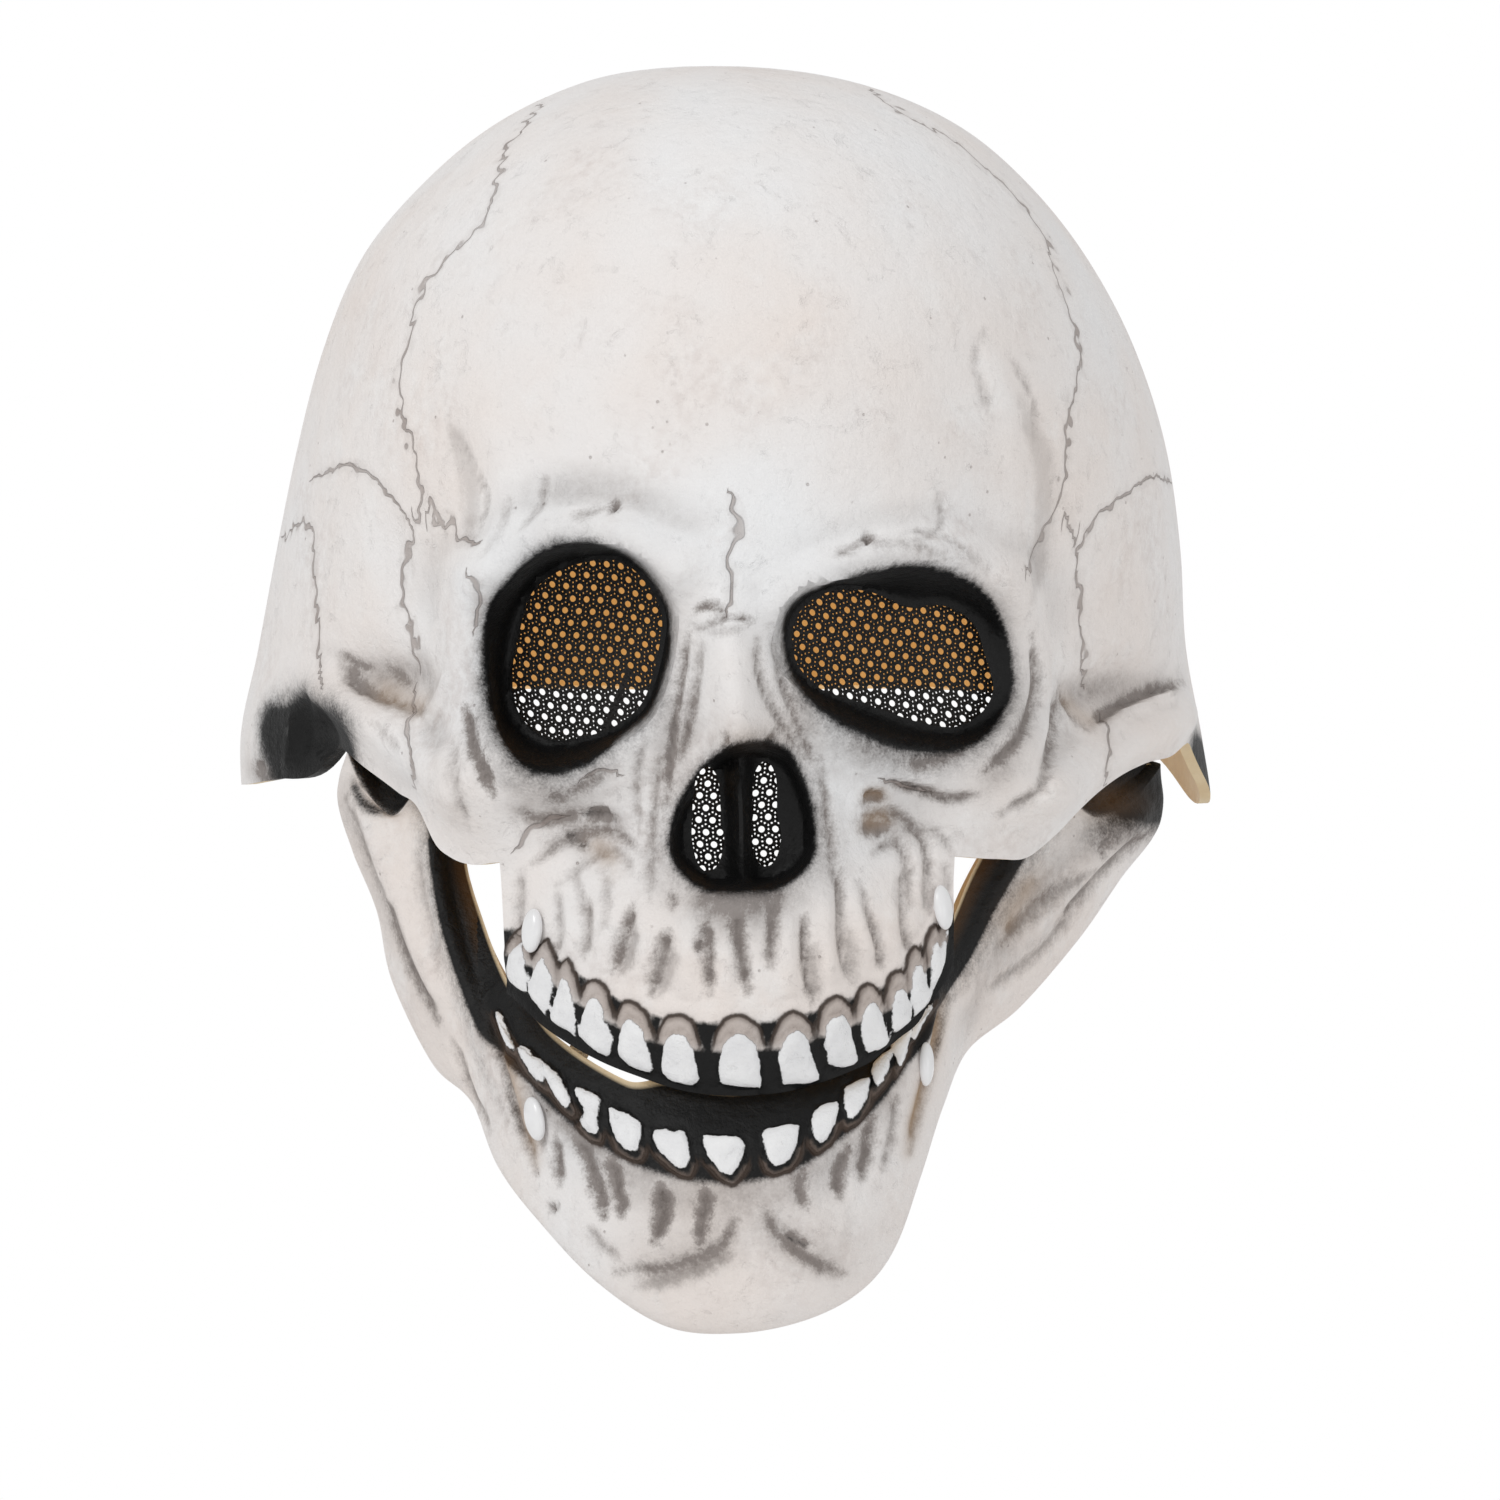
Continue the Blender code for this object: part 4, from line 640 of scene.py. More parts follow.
def stroke_distance(stroke, x, drop):
    """Distance from points of the front view to a stroke's curve."""
    t = np.linspace(0, 1, 25)
    cx = (1 - t) ** 2 * stroke.x0 + 2 * t * (1 - t) * stroke.x1 + t * t * stroke.x2
    cd = (1 - t) ** 2 * stroke.drop0 + 2 * t * (1 - t) * stroke.drop1 + t * t * stroke.drop2
    best = np.full(np.shape(x), 1e9)
    for i in range(len(t) - 1):
        ex, ed = cx[i + 1] - cx[i], cd[i + 1] - cd[i]
        u = np.clip(((x - cx[i]) * ex + (drop - cd[i]) * ed) / (ex * ex + ed * ed), 0, 1)
        best = np.minimum(best, np.hypot(x - cx[i] - u * ex, drop - cd[i] - u * ed))
    return best


def opening_place(opening, x, drop):
    """Distance from an opening's centre and angle clockwise from straight up."""
    return np.hypot(x - opening.x, drop - opening.drop), np.arctan2(x - opening.x, opening.drop - drop)


def opening_floor(opening, x):
    """Depth of the level floor behind a socket or the nose."""
    return opening.floor - opening.slope * (x - opening.x)


def skull_plan(angle, drop):
    """Plain plan of the head at an angle and a drop: x, y and how far the place faces forward."""
    key = np.sqrt([s.drop for s in SKULL_SECTIONS])
    root = np.sqrt(drop)
    left, right, front, middle, back, taper = (
        hermite(key, [getattr(s, name) for s in SKULL_SECTIONS], root)
        for name in ("left", "right", "front", "middle", "back", "taper"))
    cosine = np.cos(angle)
    forward = np.clip(cosine, 0, 1)
    x = 0.5 * (left + right) + 0.5 * (right - left) * np.sin(angle) * (1 - taper * forward ** 1.2)
    y = middle + np.where(cosine > 0, (front - middle) * cosine, (middle - back) * cosine)
    return x, y, forward


def settle_on_rims(angle, drop, reach):
    """Move places that lie near the rim of a socket or the nose onto that rim."""
    for o in SOCKETS + [NOSE]:
        x, _, forward = skull_plan(angle, drop)
        ahead, _, _ = skull_plan(angle + 0.01, drop)
        away, turn = opening_place(o, x, drop)
        hole = ring(o.hole, turn) + (1.0 if o is not NOSE else 0.0)
        rim = np.maximum(ring(o.rim, turn), hole + 2.6)
        target = rim if o is NOSE else np.where(np.abs(away - rim) < np.abs(away - hole), rim, hole)
        near = (np.abs(away - target) < reach) & (forward > 0.2)
        scale = np.where(near, target / np.maximum(away, 0.1), 1.0)
        pace = np.where(near, (ahead - x) / 0.01, 1.0)
        angle = angle + (x - o.x) * (scale - 1) / pace
        drop = drop + (drop - o.drop) * (scale - 1)
    return angle, drop


def skull_surface(angle, drop):
    """Outer face of the skull sheet at an angle round the head and a drop below the crown."""
    x, y, forward = skull_plan(angle, drop)
    facing = step(0.0, 0.22, forward)
    push_front = np.zeros_like(x)
    push_side = np.zeros_like(x)
    for b in BUMPS:
        tilt = math.radians(b.tilt)
        u = ((x - b.x) * math.cos(tilt) + (drop - b.drop) * math.sin(tilt)) / b.wide
        v = ((drop - b.drop) * math.cos(tilt) - (x - b.x) * math.sin(tilt)) / b.tall
        weight = np.exp(-(u * u + v * v)) * facing * b.push
        push_front += weight * (1 - b.aside)
        push_side += weight * b.aside
    for s in STROKES:
        weight = np.exp(-(stroke_distance(s, x, drop) / s.width) ** 2) * facing * s.push
        push_front += weight * (1 - s.aside)
        push_side += weight * s.aside
    edge = hermite([e.x for e in UPPER_EDGE], [e.drop for e in UPPER_EDGE], x)
    push_front += 1.1 * step(19.0, 15.0, edge - drop) * step(-46.5, -43.5, x) * step(46.5, 43.5, x) * facing
    y = y - push_front - push_side * forward
    x_out = x + push_side * np.sin(angle)
    for o in SOCKETS + [NOSE]:
        reach, turn = opening_place(o, x, drop)
        hole = ring(o.hole, turn) + (1.0 if o is not NOSE else 0.0)
        rim = np.maximum(ring(o.rim, turn), hole + 2.6)
        inside = step(1.0, 0.0, (reach - hole) / (rim - hole)) * (forward > 0.2)
        floor = opening_floor(o, x)
        if o is NOSE:
            floor = floor - SEPTUM.push * np.exp(-(stroke_distance(SEPTUM, x, drop) / SEPTUM.width) ** 2)
        y = y + inside * (np.maximum(floor, y) - y)
    return np.stack([x_out, y, CROWN - drop], axis=-1)


def border_drop(angle):
    """Drop of the sheet's lower border at an angle round the head."""
    degrees = np.degrees(np.abs(angle))
    left = hermite([b.angle for b in BORDER_LEFT], [b.drop for b in BORDER_LEFT], degrees)
    right = hermite([b.angle for b in BORDER_RIGHT], [b.drop for b in BORDER_RIGHT], degrees)
    return np.where(angle < 0, left, right)


def skull_grid(columns, drops, lower, reach):
    """Rows of points from the crown to the border and down the upper jaw, with angle and drop."""
    angle = np.asarray(columns)
    drop = np.outer(np.asarray(drops) / drops[-1], border_drop(angle))
    turn = np.broadcast_to(angle, drop.shape).copy()
    turn[:-1], drop[:-1] = settle_on_rims(turn[:-1], drop[:-1], reach)
    main = np.concatenate([skull_surface(turn, drop), turn[..., None], drop[..., None]], axis=-1)
    jaw_columns = np.nonzero(np.abs(angle) <= math.radians(MAXILLA_ANGLE) + 1e-6)[0]
    top = border_drop(angle[jaw_columns])
    x = skull_surface(angle[jaw_columns], np.full(len(jaw_columns), 190.0))[:, 0]
    bottom = hermite([e.x for e in UPPER_EDGE], [e.drop for e in UPPER_EDGE], x)
    share = np.arange(1, lower + 1)[:, None] / lower
    drop2 = top[None, :] * (1 - share) + bottom[None, :] * share
    turn2 = np.broadcast_to(angle[jaw_columns], drop2.shape)
    extra = np.concatenate([skull_surface(turn2, drop2), turn2[..., None], drop2[..., None]], axis=-1)
    return main, jaw_columns, extra


def grid_mesh(skull, coarse_rows):
    """Rows and faces of the outer sheet: one point at the crown, half the columns on the cap."""
    main, jaw_columns, extra = skull
    rows, count = main.shape[:2]
    points = [main[0, 0]]
    number = np.zeros((rows, count), int)
    for i in range(1, rows):
        pace = 2 if i < coarse_rows else 1
        number[i, ::pace] = np.arange(len(points), len(points) + len(range(0, count, pace)))
        points.extend(main[i, ::pace])
    faces = [(0, number[1, (j + 2) % count], number[1, j]) for j in range(0, count, 2)]
    for i in range(1, rows - 1):
        pace = 2 if i < coarse_rows else 1
        for j in range(0, count, pace):
            k = (j + pace) % count
            ends = (number[i + 1, k], number[i + 1, j])
            if i == coarse_rows - 1:
                ends = (number[i + 1, k], number[i + 1, j + 1], number[i + 1, j])
            faces.append((number[i, j], number[i, k]) + ends)
    above = number[rows - 1, jaw_columns]
    for i in range(extra.shape[0]):
        below = np.arange(len(points), len(points) + len(jaw_columns))
        points.extend(extra[i])
        faces += [(above[j], above[j + 1], below[j + 1], below[j]) for j in range(len(below) - 1)]
        above = below
    return np.array(points), [tuple(int(v) for v in reversed(f)) for f in faces]


def fan(faces):
    """Triangles of a list of faces."""
    return np.array([(f[0], f[k], f[k + 1]) for f in faces for k in range(1, len(f) - 1)])


def point_normals(points, triangles):
    """Area-weighted normals at the points of a sheet."""
    a, b, c = (points[triangles[:, k]] for k in range(3))
    n = np.cross(b - a, c - a)
    total = sum_at(triangles.T.ravel(), np.vstack([n, n, n]), len(points))
    return total / np.maximum(np.linalg.norm(total, axis=1), 1e-12)[:, None]


def sum_at(index, values, count):
    """Sum rows of values at the points that they belong to."""
    return np.stack([np.bincount(index, values[:, c], count) for c in range(values.shape[1])], axis=1)


def sheet_edges(faces):
    """Each edge of a sheet once."""
    pairs = np.array([(a, b) for f in faces for a, b in zip(f, f[1:] + f[:1])])
    return np.unique(np.sort(pairs, axis=1), axis=0)


def smooth_field(field, edges, rounds):
    """Average rows of values over the neighbours of each point."""
    ends = np.concatenate([edges[:, 0], edges[:, 1]])
    others = np.concatenate([edges[:, 1], edges[:, 0]])
    weight = 1.0 + np.bincount(ends, minlength=len(field))[:, None]
    for _ in range(rounds):
        field = (field + sum_at(ends, field[others], len(field))) / weight
    return field


def trim(rows, faces, level):
    """Cut a sheet along the zero line of a level and keep the side above it."""
    level = level.tolist()
    extra, added, kept = [], {}, []

    def crossing(a, b):
        key = (min(a, b), max(a, b))
        if key not in added:
            t = level[key[0]] / (level[key[0]] - level[key[1]])
            t = min(max(t, 0.03), 0.97)
            added[key] = len(rows) + len(extra)
            extra.append(rows[key[0]] * (1 - t) + rows[key[1]] * t)
        return added[key]

    for face in faces:
        above = [level[v] > 0 for v in face]
        if all(above):
            kept.append(face)
        elif any(above):
            new = []
            for a, b in zip(face, face[1:] + face[:1]):
                if level[a] > 0:
                    new.append(a)
                if (level[a] > 0) != (level[b] > 0):
                    new.append(crossing(a, b))
            kept.append(tuple(new))
    rows = np.vstack([rows] + extra) if extra else rows
    used = np.unique([v for f in kept for v in f])
    place = np.full(len(rows), -1)
    place[used] = np.arange(len(used))
    return rows[used], [tuple(int(place[v]) for v in f) for f in kept]


def wall_faces(faces, count):
    """Faces of a closed wall: the outer sheet, the inner sheet turned over, and the rims between."""
    directed = {(a, b) for f in faces for a, b in zip(f, f[1:] + f[:1])}
    rims = [(b, a, a + count, b + count) for a, b in sorted(directed) if (b, a) not in directed]
    return list(faces) + [tuple(v + count for v in reversed(f)) for f in faces] + rims


def grid_faces(rows, columns):
    """Quads over a grid of points that are numbered row by row."""
    corners = [(i * columns + j, (i + 1) * columns + j) for i in range(rows - 1) for j in range(columns - 1)]
    return [(a, a + 1, b + 1, b) for a, b in corners]


def spline(path, count):
    """Points at even parameter along a smooth curve through a path's points."""
    path = np.asarray(path, float)
    keys = np.arange(len(path), dtype=float)
    where = np.linspace(0, len(path) - 1, count)
    return np.stack([hermite(keys, path[:, c], where) for c in range(path.shape[1])], axis=1)


def lay_on(points, side, path, per_step=4):
    """Lay a path, given as seen from a side, on the nearest points of a surface."""
    first, second = (0, 1) if side == "top" else (0, 2)
    fit = {"front": points[:, 1] < 30, "back": points[:, 1] > 30, "top": points[:, 2] > -60}[side]
    found = points[fit]
    line = spline(path, (len(path) - 1) * per_step + 1)
    if side != "top":
        line[:, 1] = CROWN - line[:, 1]
    laid = []
    for a, b in line:
        away = (found[:, first] - a) ** 2 + (found[:, second] - b) ** 2
        near = np.argsort(away)[:6]
        p = found[near][np.argmin(found[near, 1] * (side == "front") + away[near] * 0.5)].copy()
        p[first], p[second] = a, b
        laid.append(p)
    return np.array(laid)


def near_path(points, normals, line, reach, side="front"):
    """Points within reach of a line, as seen from a side: numbers, distances, sides, shares along it."""
    squash = np.array([1, 1, 0.4] if side == "top" else [1, 0.4, 1])
    points, line = points * squash, line * squash
    low, high = line.min(axis=0) - reach, line.max(axis=0) + reach
    near = np.nonzero(np.all((points > low) & (points < high), axis=1))[0]
    best = np.full(len(near), 1e9)
    side = np.ones(len(near))
    along = np.zeros(len(near))
    p = points[near]
    for i in range(len(line) - 1):
        e = line[i + 1] - line[i]
        t = np.clip((p - line[i]) @ e / max(e @ e, 1e-9), 0, 1)
        gap = p - line[i] - t[:, None] * e
        d = np.linalg.norm(gap, axis=1)
        s = np.sign((np.cross(e, gap) * normals[near]).sum(axis=1))
        better = d < best
        best = np.where(better, d, best)
        side = np.where(better, s, side)
        along = np.where(better, (i + t) / (len(line) - 1), along)
    keep = best < reach
    return near[keep], best[keep], side[keep], along[keep]


def outline_distance(outline, x, drop, count=48):
    """Distance to a closed outline in the front view, above nought inside it."""
    shape = np.asarray(outline, float)
    n = len(shape)
    t = np.arange(count) * n / count
    k = np.floor(t).astype(int)
    t = (t - k)[:, None]
    p0, p1, p2, p3 = shape[k - 1], shape[k], shape[(k + 1) % n], shape[(k + 2) % n]
    curve = p1 + 0.4 * t * (p2 - p0 + t * (2 * p0 - 5 * p1 + 4 * p2 - p3 + t * (3 * (p1 - p2) + p3 - p0)))
    away = np.full(len(x), 1e9)
    inside = np.zeros(len(x), bool)
    for a, b in zip(curve, np.roll(curve, -1, axis=0)):
        e = b - a
        u = np.clip(((x - a[0]) * e[0] + (drop - a[1]) * e[1]) / max(e @ e, 1e-9), 0, 1)
        away = np.minimum(away, np.hypot(x - a[0] - u * e[0], drop - a[1] - u * e[1]))
        crosses = ((a[1] > drop) != (b[1] > drop)) & (
            x < (b[0] - a[0]) * (drop - a[1]) / (b[1] - a[1] + 1e-12) + a[0])
        inside ^= crosses
    return np.where(inside, away, -away)


def teeth_field(outlines, x, drop, facing, reach):
    """Distance to the nearest tooth outline and to its wider arch of gum, above nought inside."""
    tooth = np.full(len(x), -8.0)
    arch = np.full(len(x), -8.0)
    for outline in outlines:
        shape = np.asarray(outline)
        low, high = shape.min(axis=0) - 8, shape.max(axis=0) + 8
        near = np.nonzero((x > low[0]) & (x < high[0]) & (drop > low[1]) & (drop < high[1]) & facing)[0]
        tooth[near] = np.maximum(tooth[near], outline_distance(shape, x[near], drop[near]))
        top, bottom = shape[:, 1].min(), shape[:, 1].max()
        share = (bottom - shape[:, 1]) / (bottom - top) if reach > 0 else (shape[:, 1] - top) / (bottom - top)
        centre = 0.5 * (shape[:, 0].min() + shape[:, 0].max())
        wider = np.stack([centre + (shape[:, 0] - centre) * 1.22 + np.sign(shape[:, 0] - centre) * 0.5,
                          shape[:, 1] - reach * share], axis=1)
        arch[near] = np.maximum(arch[near], outline_distance(wider, x[near], drop[near]))
    return tooth, arch


def add_folds(points, normals, folds, push, fields):
    """Add the height of folds, and their dark wash and painted shade, to a surface's fields."""
    for fold in folds:
        line = lay_on(points, "front", fold.path)
        near, away, _, along = near_path(points, normals, line, fold.wide * 3)
        taper = np.maximum(step(0.0, 0.16, along) * step(1.0, 0.84, along), 0.15)
        push[near] += fold.push * FOLD_DEPTH * np.exp(-(away / fold.wide) ** 2) * taper
        inside = fold.wide * (0.35 + 0.5 * taper) - away
        better = inside > fields["mark"][near]
        # Dark wash and painted shade along the groove
        if fold.wash > 0:
            fields["mark"][near[better]] = inside[better]
            fields["mark_amount"][near[better]] = fold.wash * FOLD_WASH_AND_SHADE


def add_stains(points, normals, stains, fields):
    """Add strokes of paint and of painted shade to a surface's fields."""
    for stain in stains:
        line = lay_on(points, "front", stain.path)
        near, away, _, along = near_path(points, normals, line, stain.wide * 2.2)
        taper = 0.35 + 0.65 * step(0.0, 0.2, along) * step(1.0, 0.8, along)
        fields[stain.finish][near] += stain.amount * np.exp(-(away / stain.wide) ** 2) * taper


def add_seams(points, normals, push):
    """Side-signed distance to the nearest bone seam, plain distance, and how jagged it runs."""
    signed = np.full(len(points), 9.0)
    plain = np.full(len(points), 9.0)
    jagged = np.zeros(len(points))
    for seam in SEAMS:
        line = lay_on(points, seam.side, seam.path)
        near, away, side, _ = near_path(points, normals, line, 7.0, seam.side)
        better = away < plain[near]
        near, away, side = near[better], away[better], side[better]
        signed[near] = away * side
        plain[near] = away
        jagged[near] = seam.jagged
    push -= 0.35 * np.exp(-(plain / 0.8) ** 2)
    return signed, plain, jagged


def add_patches(patches, x, drop, facing, fields):
    """Add soft patches of paint and of painted shade to a surface's fields."""
    for p in patches:
        weight = np.exp(-((x - p.x) / p.wide) ** 2 - ((drop - p.drop) / p.tall) ** 2)
        fields[p.finish] += p.amount * weight * facing


def cavity(points, normals, edges, rounds):
    """How far each point lies below the smoothed surface."""
    calm = smooth_field(points, edges, rounds)
    return ((calm - points) * normals).sum(axis=1)


def first_paint(points, normals, edges, warm, clear, hollow_wash_and_shade, folds):
    """Heights and fields with the warm tone, the hollows darkened by wash and painted shade, and the folds.
    """
    fields = {name: np.full(len(points), start) for name, start in PAINTS}
    fields["warm"] += warm
    push = np.zeros(len(points))
    # Darker below the smoothed surface: grey-brown wash and painted shade in the hollows
    fields["wash"] += np.clip(cavity(points, normals, edges, 24) - clear, 0, 1.2) * hollow_wash_and_shade
    add_folds(points, normals, folds, push, fields)
    return push, fields


def tooth_relief(tooth):
    """Height of the teeth, with a groove round each."""
    return 0.75 * step(-0.5, 0.7, tooth) - 0.35 * np.exp(-((tooth + 0.7) / 0.5) ** 2)


def skull_paint(points, normals, edges, forward):
    """Heights, and fields of paint and painted shade, of the skull's outer face."""
    x, drop = points[:, 0], CROWN - points[:, 2]
    facing = step(0.02, 0.2, forward)
    push, fields = first_paint(points, normals, edges, 0.45, 0.08, 0.6 * facing, SKULL_FOLDS)
    add_patches(SKULL_PATCHES, x, drop, forward > -0.4, fields)
    add_stains(points, normals, SKULL_STAINS, fields)
    for o in SOCKETS + [NOSE]:
        reach, turn = opening_place(o, x, drop)
        rim = ring(o.rim, turn)
        past = reach - rim
        lower = step(-0.2, 0.9, -np.cos(turn)) if o is not NOSE else 0.4
        on = facing * (reach < rim + 30)
        inside = on * step(1.2 + 1.4 * lower, -0.9, past)
        halo = on * (0.42 + 0.1 * lower) * np.exp(-np.clip(past, 0, 50) / (1.4 + 2.6 * lower))
        fields["black"] = np.maximum(fields["black"], np.maximum(inside, halo))
        fields["wash"] += on * 0.3 * np.exp(-np.clip(past, 0, 50) / (3.0 + 3.0 * lower))
    tooth, arch = teeth_field(UPPER_TEETH, x, drop, forward > 0.2, 3.6)
    edge = hermite([e.x for e in UPPER_EDGE], [e.drop for e in UPPER_EDGE], x)
    tips = hermite([t[0] for t in UPPER_TIPS], [t[1] for t in UPPER_TIPS], np.clip(x, -47, 43))
    row = (np.abs(x) < 48) * facing
    line = np.exp(-((arch + 0.1) / 0.38) ** 2) * step(-6.5, -4.5, drop - tips) * step(3.0, 0.0, drop - tips)
    v_part = np.minimum(-arch + 0.1, drop - tips + 2.3)
    fields["band"] = np.where(row > 0.5, np.maximum(v_part, drop - tips - 0.26 * (edge - tips)), -8.0)
    fields["gum"] = arch
    fields["gum_shown"] = step(-7.0, -5.0, drop - tips) * step(4.0, 1.0, drop - tips) * row
    fields["wash"] += 0.35 * np.exp(-np.clip(-arch, 0, 9) / 0.9) * step(-7.0, -3.0, drop - tips) * row
    push += (0.5 * step(-0.9, 0.5, arch) - 0.45 * line) * facing * step(-7.5, -5.0, drop - tips)
    push += tooth_relief(tooth)
    seam, plain, jagged = add_seams(points, normals, push)
    fields.update(seam=seam, seam_near=plain, jagged=jagged, tooth=tooth)
    return push, fields


def jaw_paint(points, normals, edges, across, web):
    """Heights, and fields of paint and painted shade, of the jaw's outer face."""
    x, drop = points[:, 0], CROWN - points[:, 2]
    push, fields = first_paint(points, normals, edges, 0.6, 0.1, 0.4, JAW_FOLDS)
    add_patches(JAW_PATCHES, x, drop, np.ones(len(points)), fields)
    add_stains(points, normals, JAW_STAINS, fields)
    tooth, arch = teeth_field(LOWER_TEETH, x, drop, across > 2.3, -2.0)
    bottoms = hermite([t[0] for t in LOWER_TIPS], [t[1] for t in LOWER_TIPS], np.clip(x, -52, 40))
    inside = (x > -52) & (x < 41)
    row = inside * step(2.6, 3.1, across)
    fields["band"] = np.where(row > 0.5, np.maximum(bottoms - 1.6 - drop, arch - 0.75), -8.0)
    fields["gum"] = arch
    fields["gum_shown"] = row * step(-3.5, -1.5, drop - bottoms)
    inner = np.maximum(step(3.8, 4.15, across), web)
    fields["black"] = np.maximum(fields["black"], inner)
    fields["black"] = np.maximum(fields["black"], 0.35 * step(3.2, 3.9, across) * (1 - inside * (drop > 190)))
    ramus = 1 - inside * step(185, 200, drop)
    fields["tan"] += 0.75 * step(4.9, 5.9, across) * ramus
    fields["raw"] += step(5.86, 5.93, across) * np.maximum(step(2.0, -2.0, x), ramus) * (web < 0.5)
    # Painted shadow under the bottoms of the lower teeth, with a dirty wash: darkest just under them
    below = np.clip(drop - bottoms, 0, 30)
    soot = 0.75 * np.exp(-below / 1.5) + 0.42 * np.exp(-below / 7)
    fields["wash"] += soot * inside * step(1.8, 2.8, across)
    ring_line = np.exp(-((arch + 0.4) / 0.4) ** 2) * step(-3.5, -1.0, drop - bottoms) * inside
    push += 0.35 * step(-0.8, 0.4, arch) * inside * step(-6.5, -4.0, drop - bottoms) - 0.35 * ring_line
    push += tooth_relief(tooth)
    none = np.full(len(points), 9.0)
    fields.update(seam=none, seam_near=none, jagged=np.zeros(len(points)), tooth=tooth)
    return push, fields


def new_mesh(name, points, faces, fields=None, sharp=None):
    """Smooth mesh object from points in millimetres, with its fields as point attributes."""
    mesh = bpy.data.meshes.new(name)
    mesh.from_pydata((np.asarray(points) * MM).tolist(), [], [list(f) for f in faces])
    mesh.validate()
    for key, values in (fields or {}).items():
        layer = mesh.attributes.new(key, "FLOAT", "POINT")
        layer.data.foreach_set("value", np.asarray(values, np.float32))
    mesh.shade_smooth()
    if sharp:
        mesh.set_sharp_from_angle(angle=math.radians(sharp))
    mesh.update()
    obj = bpy.data.objects.new(name, mesh)
    bpy.context.scene.collection.objects.link(obj)
    return obj


def shell(name, points, inner, faces, fields, dark_rim, finishes):
    """Closed wall from an outer and an inner sheet, painted outside and plain latex inside."""
    solid = wall_faces(faces, len(points))
    doubled = {key: np.concatenate([v, v]) for key, v in fields.items()}
    obj = new_mesh(name, np.vstack([points, inner]), solid, doubled, 48)
    for finish in finishes:
        obj.data.materials.append(finish)
    slots = np.zeros(len(solid), np.int32)
    slots[len(faces):2 * len(faces)] = 1
    slots[2 * len(faces):] = [0 if dark_rim[f[0]] else 1 for f in solid[2 * len(faces):]]
    obj.data.polygons.foreach_set("material_index", slots)
    return obj


def raise_relief(points, normals, edges, push, fields):
    """Move the outer face by its relief, within reach of the solids, and darken the creases with wash and
    painted shade.
    """
    points = points + normals * np.clip(push, *RELIEF)[:, None]
    low, high = np.array(CAD_BOX[0]) / MM, np.array(CAD_BOX[1]) / MM
    points = np.clip(points, low - PAST_BOX, high + PAST_BOX)
    # Wash and painted shade in the fine creases
    fields["wash"] += np.clip(cavity(points, normals, edges, 3) - 0.05, 0, 0.5) * 0.8
    return points


def build_skull(columns_step):
    """Dense skull sheet with its holes cut, its relief and its fields of paint and painted shade."""
    face, back = 62.0, 180.0
    front = np.arange(0, face + 0.01, columns_step)
    side = [face]
    while side[-1] < back - 2:
        side.append(side[-1] + min(columns_step * 1.04 ** (len(side)), columns_step * 3.2))
    stretch = (back - face) / (side[-1] - face)
    side = face + (np.array(side[1:]) - face) * stretch
    half = np.concatenate([front[1:], side[:-1]])
    degrees = np.concatenate([-half[::-1], [0.0], half, [back]])
    pitch = columns_step * 1.65
    brow, border, upper_jaw = 90.0, 162.0, 46
    cap = brow * np.linspace(0, 1, 66) ** 1.45
    drops = np.concatenate([cap, np.linspace(brow, border, int((border - brow) / pitch))[1:]])
    rows, faces = grid_mesh(skull_grid(np.radians(degrees), drops, int(upper_jaw / pitch), 0.5), 30)
    for o in SOCKETS + SLOTS:
        reach, turn = opening_place(o, rows[:, 0], CROWN - rows[:, 2])
        level = reach - ring(o.hole or o.rim, turn)
        level = np.where(rows[:, 1] < -20, level, 9.0)
        rows, faces = trim(rows, faces, level)
    points, angle, drop = rows[:, :3], rows[:, 3], rows[:, 4]
    edges = sheet_edges(faces)
    normals = point_normals(points, fan(faces))
    forward = np.clip(np.cos(angle), 0, 1)

    # Calm direction across the wall, from the plain plan of the head
    lower = np.maximum(drop, 0.3)
    round_plan = [np.stack(skull_plan(angle + t, lower + d)[:2] + (CROWN - lower - d,), axis=1)
                  for t, d in ((0.02, 0), (-0.02, 0), (0, 0.25), (0, -0.25))]
    calm = np.cross(round_plan[3] - round_plan[2], round_plan[0] - round_plan[1])
    calm *= np.sign((calm * normals).sum(axis=1).sum())
    calm /= np.maximum(np.linalg.norm(calm, axis=1), 1e-9)[:, None]
    calm[drop < 0.5] = (0, 0, 1)
    for o in SOCKETS + [NOSE]:
        reach, turn = opening_place(o, points[:, 0], CROWN - points[:, 2])
        away = reach - ring(o.rim, turn)
        near = (step(10.0, 2.0, away) * (points[:, 1] < -20))[:, None]
        calm = calm * (1 - near) + np.array([0.0, -1.0, 0.0]) * near
    calm /= np.linalg.norm(calm, axis=1)[:, None]
    lean = np.clip((calm * smooth_field(normals, edges, 4)).sum(axis=1), 0.5, 1.0)[:, None]
    inner = points - calm * SKULL_WALL * smooth_field(1.0 / lean, edges, 4)

    push, fields = skull_paint(points, normals, edges, forward)
    points = raise_relief(points, normals, edges, push, fields)
    dark_rim = (fields["black"] > 0.35) & (rows[:, 4] < 175) & (points[:, 0] < 80)
    return points, inner, faces, fields, dark_rim


